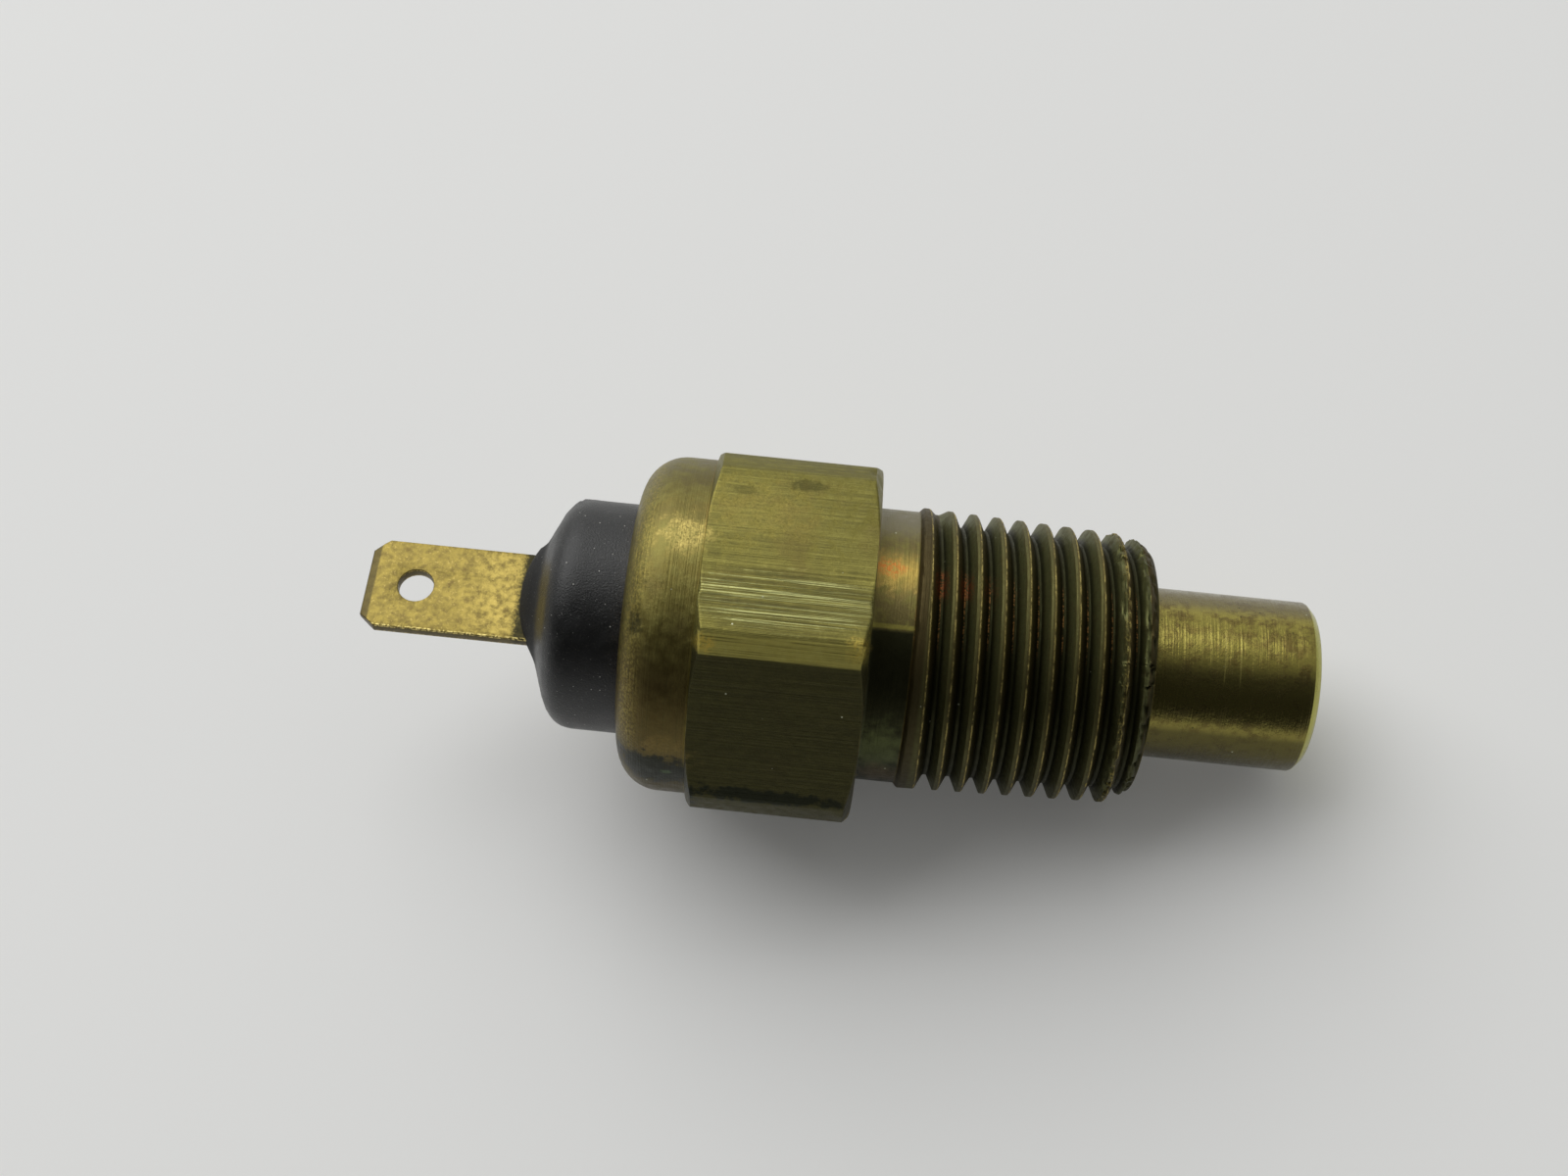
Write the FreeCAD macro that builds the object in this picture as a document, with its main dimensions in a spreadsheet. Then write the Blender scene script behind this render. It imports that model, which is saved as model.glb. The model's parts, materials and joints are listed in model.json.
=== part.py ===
import FreeCAD, Part
import math
import os

import Sketcher

# Coolant temperature switch, in millimetres.
#
# Every piece is drawn about one axis: X runs from the blade terminal to the nose, with X = 0 at
# the face of the rolled rim. A flat of the hexagon looks down along -Z. A last placement, the same
# for all pieces, lays the switch down as it comes to rest: on the edge of its hexagon and on the
# last full ridge of its thread, nose low. The thread is held as ring grooves at the true pitch,
# depth and taper.

doc = FreeCAD.newDocument("coolant_temperature_switch")

# Driving dimensions, each written once

SIZES = [
    # outside of the brass body
    ("collar_diameter", 21.48, "round collar that carries the rolled rim"),
    ("collar_length", 4.6, "rim face to hexagon"),
    ("collar_corner_radius", 2.7, "outer round of the rolled rim"),
    ("hex_across_flats", 22.0, "spanner size"),
    ("hex_length", 10.4, "hexagon, both chamfers included"),
    ("hex_flat_depth", 1.2, "flats milled this far below the turned corners"),
    ("hex_chamfer_length", 0.5, "crowned chamfer of the corners, along the axis"),
    ("hex_chamfer_depth", 1.1, "crowned chamfer, across the axis"),
    ("hex_chamfer_crown", 4.0, "radius of the chamfer's crown"),
    ("neck_diameter", 17.44, "plain neck between hexagon and thread"),
    ("neck_length", 2.6, "plain neck"),
    ("thread_diameter", 18.03, "crest diameter at the neck"),
    ("thread_half_angle", 1.79, "taper of 1 in 16 on diameter, in degrees"),
    ("thread_pitch", 1.5, "one turn"),
    ("thread_depth", 0.95, "crest to root"),
    ("thread_crest_width", 0.22, "flat left on each ridge"),
    ("thread_root_width", 0.3, "flat at the bottom of the groove"),
    ("thread_length", 14.75, "neck to end face of the boss"),
    ("thread_runout", 1.27, "plain crest before the first groove"),
    ("end_chamfer_length", 1.25, "lead-in of the thread, along the axis"),
    ("end_chamfer_depth", 0.84, "lead-in of the thread, across the axis"),
    ("nose_diameter", 10.83, "sensing nose"),
    ("nose_length", 10.65, "boss face to nose end"),
    ("nose_chamfer", 0.48, "edge of the nose end"),
    # inside of the brass body
    ("lip_thickness", 1.5, "rolled lip, along the axis"),
    ("rim_wall", 1.44, "wall of the collar round the insulator's flange"),
    ("chamber_diameter", 12.4, "contact chamber"),
    ("nose_bore_diameter", 8.6, "bore of the nose"),
    ("nose_floor_thickness", 1.2, "metal between the disc's recess and the coolant"),
    ("disc_recess_depth", 0.6, "room under the disc's dome"),
    ("disc_recess_diameter", 6.8, "leaves the ledge that the disc sits on"),
    # moulded insulator
    ("flange_step", 1.8, "flange beyond the part that stands out of the rim"),
    ("insulator_height", 4.38, "rim face to the foot of the cone"),
    ("insulator_shoulder_radius", 1.4, "round between cylinder and cone"),
    ("cone_height", 1.37, "foot of the cone to its top"),
    ("crown_diameter", 7.8, "top of the cone"),
    ("blade_neck_rise", 1.05, "top of the cone to the end of the neck round the blade"),
    ("blade_neck_diameter", 6.9, "neck round the blade"),
    ("blade_neck_chamfer", 0.5, "end chamfer of that neck"),
    ("flange_thickness", 1.8, "flange under the rolled lip"),
    ("spigot_length", 4.7, "flange to inner end"),
    ("gasket_thickness", 1.2, "rubber ring under the flange"),
    ("moulding_clearance", 0.1, "insulator in each bore of the body, on the radius"),
    # blade terminal
    ("blade_width", 6.3, "tab width"),
    ("blade_thickness", 0.8, "tab thickness"),
    ("blade_reach", 17.45, "rim face to tip"),
    ("blade_foot", 2.5, "rim face to the end of the full width"),
    ("blade_offset", 0.65, "tab to one side of the switch's axis"),
    ("blade_tip_chamfer_length", 1.0, "tip corner, along the tab"),
    ("blade_tip_chamfer_width", 0.8, "tip corner, across the tab"),
    ("blade_bevel_length", 0.65, "coined tip, along the tab"),
    ("blade_bevel_depth", 0.2, "coined tip, on each face"),
    ("blade_hole_diameter", 2.3, "detent hole"),
    ("blade_hole_distance", 3.2, "tip to hole centre"),
    ("tang_width", 2.4, "tang that sits in the stud"),
    ("tang_length", 3.5, "tang"),
    # terminal stud and contacts
    ("stud_diameter", 3.0, "shank"),
    ("stud_head_diameter", 4.8, "head"),
    ("stud_head_thickness", 1.0, "head"),
    ("fixed_tip_diameter", 3.0, "silver tip on the stud"),
    ("fixed_tip_thickness", 0.7, "silver tip on the stud"),
    ("contact_gap", 0.4, "air gap of the open contacts"),
    ("contact_head_diameter", 3.2, "head of the moving contact"),
    ("contact_head_thickness", 0.9, "head of the moving contact"),
    ("contact_shank_diameter", 1.6, "shank through the contact spring"),
    ("contact_tail_diameter", 2.8, "riveted tail under the contact spring"),
    ("contact_tail_thickness", 0.8, "riveted tail"),
    # flat contact spring, and the stack that holds its rim
    ("spring_thickness", 0.2, "spring sheet"),
    ("spring_hole_clearance", 0.05, "hole round the contact's shank, on the radius"),
    ("spring_hub_diameter", 5.0, "middle of the spring, round the contact"),
    ("spring_rim_width", 1.05, "clamped rim outside the windows' corners"),
    ("spring_arm_width", 1.53, "each of the three arms, at the hub"),
    ("spacer_length", 14.8, "tube between contact spring and guide"),
    ("spacer_wall", 0.7, "wall of seat ring and tube"),
    ("stack_clearance", 0.1, "ring, spring, tube and guide in the body's bores, on the radius"),
    ("guide_flange_thickness", 1.5, "flange on the chamber's floor"),
    ("guide_neck_diameter", 5.0, "neck towards the contacts"),
    ("guide_neck_length", 6.5, "neck towards the contacts"),
    ("guide_relief_depth", 0.8, "room for the dome when the disc has snapped"),
    # push pin and bimetal disc
    ("pin_diameter", 1.8, "ceramic push pin"),
    ("pin_chamfer", 0.2, "both ends of the pin"),
    ("pin_clearance", 0.06, "pin in its guide, on the radius"),
    ("pin_end_clearance", 0.05, "pin to the cold disc"),
    ("disc_clearance", 0.2, "disc in the nose bore, on the radius"),
    ("disc_thickness", 0.25, "bimetal sheet"),
    ("disc_dish", 0.3, "height of the cold dome"),
    ("disc_play", 0.03, "disc between ledge and guide, on each side"),
]

# Places and radii that follow from them

PLACES = [
    ("rim_face", "0"),
    ("axis_line", "0"),
    ("collar_radius", "Sizes.collar_diameter / 2"),
    ("flange_chamber_radius", "collar_radius - Sizes.rim_wall"),
    ("flange_radius", "flange_chamber_radius - Sizes.moulding_clearance"),
    ("insulator_radius", "flange_radius - Sizes.flange_step"),
    ("mouth_radius", "insulator_radius + Sizes.moulding_clearance"),
    ("hex_start", "Sizes.collar_length"),
    ("hex_end", "hex_start + Sizes.hex_length"),
    ("hex_half", "Sizes.hex_across_flats / 2"),
    ("hex_corner_reach", "Sizes.hex_across_flats / sqrt(3)"),
    ("hex_corner_half", "hex_corner_reach / 2"),
    ("hex_half_low", "-hex_half"),
    ("hex_corner_low", "-hex_corner_reach"),
    ("hex_corner_half_low", "-hex_corner_half"),
    ("hex_corner_radius", "hex_half + Sizes.hex_flat_depth"),
    ("hex_chamfer_radius", "hex_corner_radius - Sizes.hex_chamfer_depth"),
    ("hex_full_start", "hex_start + Sizes.hex_chamfer_length"),
    ("hex_full_end", "hex_end - Sizes.hex_chamfer_length"),
    ("hex_tool_radius", "hex_corner_reach + 2 * Sizes.hex_chamfer_depth"),
    ("neck_radius", "Sizes.neck_diameter / 2"),
    ("neck_end", "hex_end + Sizes.neck_length"),
    ("crest_radius_start", "Sizes.thread_diameter / 2"),
    ("boss_end", "neck_end + Sizes.thread_length"),
    ("end_chamfer_start", "boss_end - Sizes.end_chamfer_length"),
    ("taper_slope", "tan(Sizes.thread_half_angle * 1deg)"),
    ("crest_radius_end", "crest_radius_start - (end_chamfer_start - neck_end) * taper_slope"),
    ("boss_rim_radius", "crest_radius_end - Sizes.end_chamfer_depth"),
    ("groove_start", "neck_end + Sizes.thread_runout"),
    ("groove_crest_radius", "crest_radius_start - Sizes.thread_runout * taper_slope"),
    ("groove_root_radius", "groove_crest_radius - Sizes.thread_depth"),
    ("groove_overcut", "Sizes.thread_crest_width / 4"),
    ("groove_top_radius", "groove_crest_radius + groove_overcut"),
    ("groove_mouth_half", "(Sizes.thread_pitch - Sizes.thread_crest_width) / 2"),
    ("groove_flank_slope", "(groove_mouth_half - Sizes.thread_root_width / 2) / Sizes.thread_depth"),
    ("groove_top_half", "groove_mouth_half + groove_overcut * groove_flank_slope"),
    ("groove_top_left", "groove_start - groove_top_half"),
    ("groove_top_right", "groove_start + groove_top_half"),
    ("groove_root_left", "groove_start - Sizes.thread_root_width / 2"),
    ("groove_root_right", "groove_start + Sizes.thread_root_width / 2"),
    ("nose_radius", "Sizes.nose_diameter / 2"),
    ("nose_end", "boss_end + Sizes.nose_length"),
    ("nose_chamfer_start", "nose_end - Sizes.nose_chamfer"),
    ("nose_tip_radius", "nose_radius - Sizes.nose_chamfer"),
    ("lip_inside", "Sizes.lip_thickness"),
    ("flange_inside", "lip_inside + Sizes.flange_thickness"),
    ("gasket_shoulder", "flange_inside + Sizes.gasket_thickness"),
    ("chamber_radius", "Sizes.chamber_diameter / 2"),
    ("spigot_end", "flange_inside + Sizes.spigot_length"),
    ("nose_bore_radius", "Sizes.nose_bore_diameter / 2"),
    ("recess_end", "nose_end - Sizes.nose_floor_thickness"),
    ("disc_ledge", "recess_end - Sizes.disc_recess_depth"),
    ("recess_radius", "Sizes.disc_recess_diameter / 2"),
    ("spigot_radius", "chamber_radius - Sizes.moulding_clearance"),
    ("cone_foot", "-Sizes.insulator_height"),
    ("crown_face", "cone_foot - Sizes.cone_height"),
    ("crown_radius", "Sizes.crown_diameter / 2"),
    ("cone_turn", "atan((insulator_radius - crown_radius) / Sizes.cone_height)"),
    ("shoulder_reach", "Sizes.insulator_shoulder_radius * tan(cone_turn / 2)"),
    ("shoulder_end", "cone_foot + shoulder_reach"),
    ("shoulder_start", "cone_foot - shoulder_reach * cos(cone_turn)"),
    ("shoulder_start_radius", "insulator_radius - shoulder_reach * sin(cone_turn)"),
    ("blade_neck_face", "crown_face - Sizes.blade_neck_rise"),
    ("blade_neck_radius", "Sizes.blade_neck_diameter / 2"),
    ("blade_tip", "-Sizes.blade_reach"),
    ("blade_root", "-Sizes.blade_foot"),
    ("blade_neck_length", "blade_root - blade_neck_face"),
    ("tang_end", "blade_root + Sizes.tang_length"),
    ("tang_half", "Sizes.tang_width / 2"),
    ("tang_low", "-tang_half"),
    ("blade_high", "Sizes.blade_offset + Sizes.blade_width / 2"),
    ("blade_low", "Sizes.blade_offset - Sizes.blade_width / 2"),
    ("blade_centre", "Sizes.blade_offset"),
    ("blade_corner", "blade_tip + Sizes.blade_tip_chamfer_length"),
    ("blade_tip_high", "blade_high - Sizes.blade_tip_chamfer_width"),
    ("blade_tip_low", "blade_low + Sizes.blade_tip_chamfer_width"),
    ("blade_hole_centre", "blade_tip + Sizes.blade_hole_distance"),
    ("blade_face", "Sizes.blade_thickness / 2"),
    ("blade_back", "-blade_face"),
    ("bevel_end", "blade_tip + Sizes.blade_bevel_length"),
    ("bevel_face", "blade_face - Sizes.blade_bevel_depth"),
    ("bevel_back", "-bevel_face"),
    ("blade_hole_radius", "Sizes.blade_hole_diameter / 2"),
    ("stud_radius", "Sizes.stud_diameter / 2"),
    ("stud_head_radius", "Sizes.stud_head_diameter / 2"),
    ("stud_end", "spigot_end + Sizes.stud_head_thickness"),
    ("fixed_tip_radius", "Sizes.fixed_tip_diameter / 2"),
    ("fixed_tip_end", "stud_end + Sizes.fixed_tip_thickness"),
    ("moving_face", "fixed_tip_end + Sizes.contact_gap"),
    ("contact_head_radius", "Sizes.contact_head_diameter / 2"),
    ("contact_shank_radius", "Sizes.contact_shank_diameter / 2"),
    ("contact_tail_radius", "Sizes.contact_tail_diameter / 2"),
    ("spring_start", "moving_face + Sizes.contact_head_thickness"),
    ("spring_end", "spring_start + Sizes.spring_thickness"),
    ("contact_end", "spring_end + Sizes.contact_tail_thickness"),
    ("pin_start", "contact_end"),
    ("spacer_end", "spring_end + Sizes.spacer_length"),
    ("chamber_end", "spacer_end + Sizes.guide_flange_thickness"),
    ("stack_radius", "chamber_radius - Sizes.stack_clearance"),
    ("stack_bore_radius", "stack_radius - Sizes.spacer_wall"),
    ("gasket_bore_radius", "spigot_radius + Sizes.moulding_clearance"),
    ("spring_hole_radius", "contact_shank_radius + Sizes.spring_hole_clearance"),
    ("window_inner", "Sizes.spring_hub_diameter / 2"),
    ("window_high", "sqrt(3) * window_inner - Sizes.spring_arm_width"),
    ("window_low", "-window_high"),
    ("window_outer", "sqrt((stack_radius - Sizes.spring_rim_width) ^ 2 - window_high ^ 2)"),
    ("guide_neck_radius", "Sizes.guide_neck_diameter / 2"),
    ("guide_neck_start", "spacer_end - Sizes.guide_neck_length"),
    ("guide_sleeve_radius", "nose_bore_radius - Sizes.stack_clearance"),
    ("pin_radius", "Sizes.pin_diameter / 2"),
    ("guide_bore_radius", "pin_radius + Sizes.pin_clearance"),
    ("disc_radius", "nose_bore_radius - Sizes.disc_clearance"),
    ("dome_radius", "(disc_radius ^ 2 + Sizes.disc_dish ^ 2) / (2 * Sizes.disc_dish)"),
    ("dome_inner_radius", "dome_radius - Sizes.disc_thickness"),
    ("dome_centre", "disc_ledge - Sizes.disc_play - sqrt(dome_radius ^ 2 - recess_radius ^ 2)"),
    ("disc_rim", "dome_centre + sqrt(dome_inner_radius ^ 2 - disc_radius ^ 2)"),
    ("guide_end", "disc_rim - Sizes.disc_play"),
    ("guide_relief_start", "guide_end - Sizes.guide_relief_depth"),
    ("pin_end", "dome_centre + dome_inner_radius - Sizes.pin_end_clearance"),
    ("pin_chamfer_start", "pin_start + Sizes.pin_chamfer"),
    ("pin_chamfer_end", "pin_end - Sizes.pin_chamfer"),
    ("pin_tip_radius", "pin_radius - Sizes.pin_chamfer"),
    ("last_groove", "floor((end_chamfer_start + groove_mouth_half - groove_start) / Sizes.thread_pitch)"),
    ("last_ridge_end", "groove_start + last_groove * Sizes.thread_pitch - groove_mouth_half"),
    ("last_ridge_radius", "crest_radius_start - (last_ridge_end - neck_end) * taper_slope"),
    ("rest_tilt", "atan((hex_half - last_ridge_radius) / (last_ridge_end - hex_end)) / 1deg"),
]


SHEET_OF = {}


def fill_sheet(name, rows):
    """A spreadsheet with one alias per row: the name in column A, the value or formula in column B."""
    sheet = doc.addObject("Spreadsheet::Sheet", name)
    for number, (alias, content, *meaning) in enumerate(rows, start=1):
        sheet.set(f"A{number}", alias)
        sheet.set(f"B{number}", f"={content}" if isinstance(content, str) else str(content))
        sheet.set(f"C{number}", " ".join(meaning))
        sheet.setAlias(f"B{number}", alias)
        SHEET_OF[alias] = name
    doc.recompute()


def cell(alias):
    """The expression that reads one named value."""
    return f"{SHEET_OF[alias]}.{alias}"


def value(alias):
    """The same named value as a number."""
    found = getattr(doc.getObject(SHEET_OF[alias]), alias)
    return float(getattr(found, "Value", found))


fill_sheet("Sizes", SIZES)
fill_sheet("Places", PLACES)

# Corners of the thread's grooves: each lies one pitch further on, and deeper by the taper

groove_count = math.ceil((value("boss_end") - value("groove_start")) / value("thread_pitch"))
GROOVES = []
for number in range(groove_count):
    travel = f"{number} * Sizes.thread_pitch"
    for corner in ("root_left", "root_right", "top_left", "top_right"):
        GROOVES.append((f"{corner}_{number}", f"Places.groove_{corner} + {travel}"))
    for radius in ("root_radius", "top_radius"):
        GROOVES.append((f"{radius}_{number}", f"Places.groove_{radius} - {travel} * Places.taper_slope"))
fill_sheet("Grooves", GROOVES)


def new_body(label):
    body = doc.addObject("PartDesign::Body", label)
    body.Label = label
    return body


def new_sketch(body, name, plane, station=None):
    """A sketch on one of the body's own planes, moved along the axis to a named station."""
    sketch = body.newObject("Sketcher::SketchObject", name)
    support = next(f for f in body.Origin.OriginFeatures if f.Role == plane)
    sketch.AttachmentSupport = (support, [""])
    sketch.MapMode = "FlatFace"
    if station:
        sketch.setExpression("AttachmentOffset.Base.z", cell(station))
    return sketch


def bind(sketch, kind, geometry, point, alias):
    """Hold a point's distance from the sketch's origin to a named value."""
    constraint = Sketcher.Constraint(kind, -1, 1, geometry, point, value(alias))
    index = sketch.addConstraint(constraint)
    sketch.setExpression(f"Constraints[{index}]", cell(alias))


def round_side(start, finish, radius):
    """The convex round of an outline that runs clockwise. A sketch holds it the other way round."""
    side = finish.sub(start)
    inward = FreeCAD.Vector(side.y, -side.x, 0).normalize()
    height = math.sqrt(radius ** 2 - side.Length ** 2 / 4)
    centre = start.add(finish).multiply(0.5).add(inward.multiply(height))
    low, high = (math.atan2(spot.y - centre.y, spot.x - centre.x) for spot in (finish, start))
    circle = Part.Circle(centre, FreeCAD.Vector(0, 0, 1), radius)
    return Part.ArcOfCircle(circle, low, high if high > low else high + math.tau)


def draw_outline(sketch, corners):
    """A closed outline through corners, each a pair of named values. A corner's third name is the
    radius of a convex round that leads to the next corner; such an outline runs clockwise."""
    first = sketch.GeometryCount
    count = len(corners)
    spots = [FreeCAD.Vector(value(corner[0]), value(corner[1]), 0) for corner in corners]
    ends = []
    for number, corner in enumerate(corners):
        start, finish = spots[number], spots[(number + 1) % count]
        if len(corner) == 3:
            side = sketch.addGeometry(round_side(start, finish, value(corner[2])), False)
            index = sketch.addConstraint(Sketcher.Constraint("Radius", side, value(corner[2])))
            sketch.setExpression(f"Constraints[{index}]", cell(corner[2]))
            ends.append((2, 1))
        else:
            sketch.addGeometry(Part.LineSegment(start, finish), False)
            ends.append((1, 2))
    for number in range(count):
        following = (number + 1) % count
        joint = ("Coincident", first + number, ends[number][1], first + following, ends[following][0])
        sketch.addConstraint(Sketcher.Constraint(*joint))
    for number, corner in enumerate(corners):
        bind(sketch, "DistanceX", first + number, ends[number][0], corner[0])
        bind(sketch, "DistanceY", first + number, ends[number][0], corner[1])


def draw_circle(sketch, along, across, radius):
    """A circle about a point given by named values."""
    centre = FreeCAD.Vector(value(along), value(across), 0)
    circle = Part.Circle(centre, FreeCAD.Vector(0, 0, 1), value(radius))
    geometry = sketch.addGeometry(circle, False)
    bind(sketch, "DistanceX", geometry, 3, along)
    bind(sketch, "DistanceY", geometry, 3, across)
    index = sketch.addConstraint(Sketcher.Constraint("Radius", geometry, value(radius)))
    sketch.setExpression(f"Constraints[{index}]", cell(radius))


def turn(body, corners):
    """Turn an outline of (station, radius) pairs about the switch's axis."""
    sketch = new_sketch(body, f"{body.Name}_section", "XZ_Plane")
    draw_outline(sketch, corners)
    turned = body.newObject("PartDesign::Revolution", f"{body.Name}_turned")
    turned.Profile = sketch
    turned.ReferenceAxis = (sketch, ["H_Axis"])
    turned.Angle = 360
    doc.recompute()
    return turned


def ring(label, start, end, bore, outside):
    """A turned ring or disc between two stations; a bore on the axis line gives a plain disc."""
    body = new_body(label)
    turn(body, [(start, bore), (start, outside), (end, outside), (end, bore)])
    return body


def round_edges_at(feature, station, radius):
    """Names of the feature's circular edges at one station and of one radius."""
    names = []
    for number, edge in enumerate(feature.Shape.Edges, start=1):
        curve = edge.Curve
        if not isinstance(curve, Part.Circle):
            continue
        right_place = abs(curve.Center.x - value(station)) < 1e-4
        if right_place and abs(curve.Radius - value(radius)) < 1e-4:
            names.append(f"Edge{number}")
    if not names:
        raise RuntimeError(f"no round edge at {station} with {radius}")
    return names


def require_cut(before, after, what):
    """A cut that misses shows no error, so the volumes are compared."""
    if not after.Shape.Volume < before.Shape.Volume - 1e-3:
        raise RuntimeError(f"{what} removed nothing")


# Brass body: turned from hexagon bar, bored, threaded, and rolled over the insulator


def make_switch_body():
    body = new_body("switch_body")
    blank = turn(body, [
        ("rim_face", "mouth_radius"),
        ("rim_face", "collar_radius"),
        ("hex_start", "collar_radius"),
        ("hex_start", "hex_chamfer_radius", "hex_chamfer_crown"),
        ("hex_full_start", "hex_corner_radius"),
        ("hex_full_end", "hex_corner_radius", "hex_chamfer_crown"),
        ("hex_end", "hex_chamfer_radius"),
        ("hex_end", "neck_radius"),
        ("neck_end", "neck_radius"),
        ("neck_end", "crest_radius_start"),
        ("end_chamfer_start", "crest_radius_end"),
        ("boss_end", "boss_rim_radius"),
        ("boss_end", "nose_radius"),
        ("nose_chamfer_start", "nose_radius"),
        ("nose_end", "nose_tip_radius"),
        ("nose_end", "axis_line"),
        ("recess_end", "axis_line"),
        ("recess_end", "recess_radius"),
        ("disc_ledge", "recess_radius"),
        ("disc_ledge", "nose_bore_radius"),
        ("chamber_end", "nose_bore_radius"),
        ("chamber_end", "chamber_radius"),
        ("gasket_shoulder", "chamber_radius"),
        ("gasket_shoulder", "flange_chamber_radius"),
        ("lip_inside", "flange_chamber_radius"),
        ("lip_inside", "mouth_radius"),
    ])
    rolled = body.newObject("PartDesign::Fillet", "rolled_rim")
    rolled.Base = (blank, round_edges_at(blank, "rim_face", "collar_radius"))
    rolled.setExpression("Radius", cell("collar_corner_radius"))
    doc.recompute()

    # The six flats: what lies outside the hexagon is cut away over the hexagon's length
    flats = new_sketch(body, "hexagon", "YZ_Plane", "hex_start")
    draw_circle(flats, "axis_line", "axis_line", "hex_tool_radius")
    draw_outline(flats, [
        ("hex_corner_reach", "axis_line"),
        ("hex_corner_half", "hex_half"),
        ("hex_corner_half_low", "hex_half"),
        ("hex_corner_low", "axis_line"),
        ("hex_corner_half_low", "hex_half_low"),
        ("hex_corner_half", "hex_half_low"),
    ])
    milled = body.newObject("PartDesign::Pocket", "flats")
    milled.Profile = flats
    milled.Reversed = True
    milled.setExpression("Length", cell("hex_length"))
    doc.recompute()
    require_cut(rolled, milled, "the hexagon")

    # The thread: its grooves narrow towards the nose, and the last one runs into the lead-in
    grooves = new_sketch(body, "grooves", "XZ_Plane")
    for number in range(groove_count):
        draw_outline(grooves, [
            (f"root_left_{number}", f"root_radius_{number}"),
            (f"top_left_{number}", f"top_radius_{number}"),
            (f"top_right_{number}", f"top_radius_{number}"),
            (f"root_right_{number}", f"root_radius_{number}"),
        ])
    thread = body.newObject("PartDesign::Groove", "thread")
    thread.Profile = grooves
    thread.ReferenceAxis = (grooves, ["H_Axis"])
    thread.Angle = 360
    doc.recompute()
    require_cut(milled, thread, "the thread")
    return body


# Moulded insulator: its flange is trapped under the rolled lip, its cone carries the blade


def make_insulator():
    body = new_body("terminal_insulator")
    turn(body, [
        ("blade_root", "axis_line"),
        ("crown_face", "axis_line"),
        ("crown_face", "crown_radius"),
        ("shoulder_start", "shoulder_start_radius", "insulator_shoulder_radius"),
        ("shoulder_end", "insulator_radius"),
        ("lip_inside", "insulator_radius"),
        ("lip_inside", "flange_radius"),
        ("flange_inside", "flange_radius"),
        ("flange_inside", "spigot_radius"),
        ("spigot_end", "spigot_radius"),
        ("spigot_end", "stud_radius"),
        ("blade_root", "stud_radius"),
    ])

    # The neck round the blade stands to one side, as the blade does
    neck = new_sketch(body, "blade_neck", "YZ_Plane", "blade_neck_face")
    draw_circle(neck, "blade_centre", "axis_line", "blade_neck_radius")
    pad = body.newObject("PartDesign::Pad", "neck")
    pad.Profile = neck
    pad.setExpression("Length", cell("blade_neck_length"))
    doc.recompute()
    end_edge = round_edges_at(pad, "blade_neck_face", "blade_neck_radius")
    ended = body.newObject("PartDesign::Chamfer", "neck_end")
    ended.Base = (pad, end_edge)
    ended.setExpression("Size", cell("blade_neck_chamfer"))
    doc.recompute()

    # The slot that the blade is moulded into, as deep as its full width
    slot = new_sketch(body, "blade_slot", "YZ_Plane", "blade_neck_face")
    draw_outline(slot, [
        ("blade_low", "blade_back"),
        ("blade_high", "blade_back"),
        ("blade_high", "blade_face"),
        ("blade_low", "blade_face"),
    ])
    slotted = body.newObject("PartDesign::Pocket", "slot")
    slotted.Profile = slot
    slotted.Reversed = True
    slotted.setExpression("Length", cell("blade_neck_length"))
    doc.recompute()
    require_cut(ended, slotted, "the blade's slot")
    return body


# Blade terminal: stamped tab with a detent hole, a coined tip and a tang


def make_blade():
    body = new_body("terminal_blade")
    outline = new_sketch(body, "blade_outline", "XY_Plane")
    draw_outline(outline, [
        ("blade_tip", "blade_tip_low"),
        ("blade_corner", "blade_low"),
        ("blade_root", "blade_low"),
        ("blade_root", "tang_low"),
        ("tang_end", "tang_low"),
        ("tang_end", "tang_half"),
        ("blade_root", "tang_half"),
        ("blade_root", "blade_high"),
        ("blade_corner", "blade_high"),
        ("blade_tip", "blade_tip_high"),
    ])
    draw_circle(outline, "blade_hole_centre", "blade_centre", "blade_hole_radius")
    sheet = body.newObject("PartDesign::Pad", "sheet")
    sheet.Profile = outline
    sheet.Midplane = True
    sheet.setExpression("Length", cell("blade_thickness"))
    doc.recompute()

    # The coined tip: a wedge is pressed off each face
    wedges = new_sketch(body, "bevel_wedges", "XZ_Plane")
    draw_outline(wedges, [
        ("blade_tip", "bevel_face"),
        ("bevel_end", "blade_face"),
        ("blade_tip", "blade_face"),
    ])
    draw_outline(wedges, [
        ("blade_tip", "bevel_back"),
        ("bevel_end", "blade_back"),
        ("blade_tip", "blade_back"),
    ])
    coined = body.newObject("PartDesign::Pocket", "coined_tip")
    coined.Profile = wedges
    coined.Midplane = True
    coined.setExpression("Length", f"3 * {cell('blade_width')}")
    doc.recompute()
    require_cut(sheet, coined, "the coined tip")
    return body


# Terminal stud: takes the blade's tang in a slot and carries the fixed contact's tip


def make_stud():
    body = new_body("terminal_stud")
    shank = turn(body, [
        ("blade_root", "axis_line"),
        ("blade_root", "stud_radius"),
        ("spigot_end", "stud_radius"),
        ("spigot_end", "stud_head_radius"),
        ("stud_end", "stud_head_radius"),
        ("stud_end", "axis_line"),
    ])
    slot = new_sketch(body, "tang_slot", "YZ_Plane", "blade_root")
    draw_outline(slot, [
        ("tang_low", "blade_back"),
        ("tang_half", "blade_back"),
        ("tang_half", "blade_face"),
        ("tang_low", "blade_face"),
    ])
    slotted = body.newObject("PartDesign::Pocket", "tang_seat")
    slotted.Profile = slot
    slotted.Reversed = True
    slotted.setExpression("Length", cell("tang_length"))
    doc.recompute()
    require_cut(shank, slotted, "the tang's seat")
    return body


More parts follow.
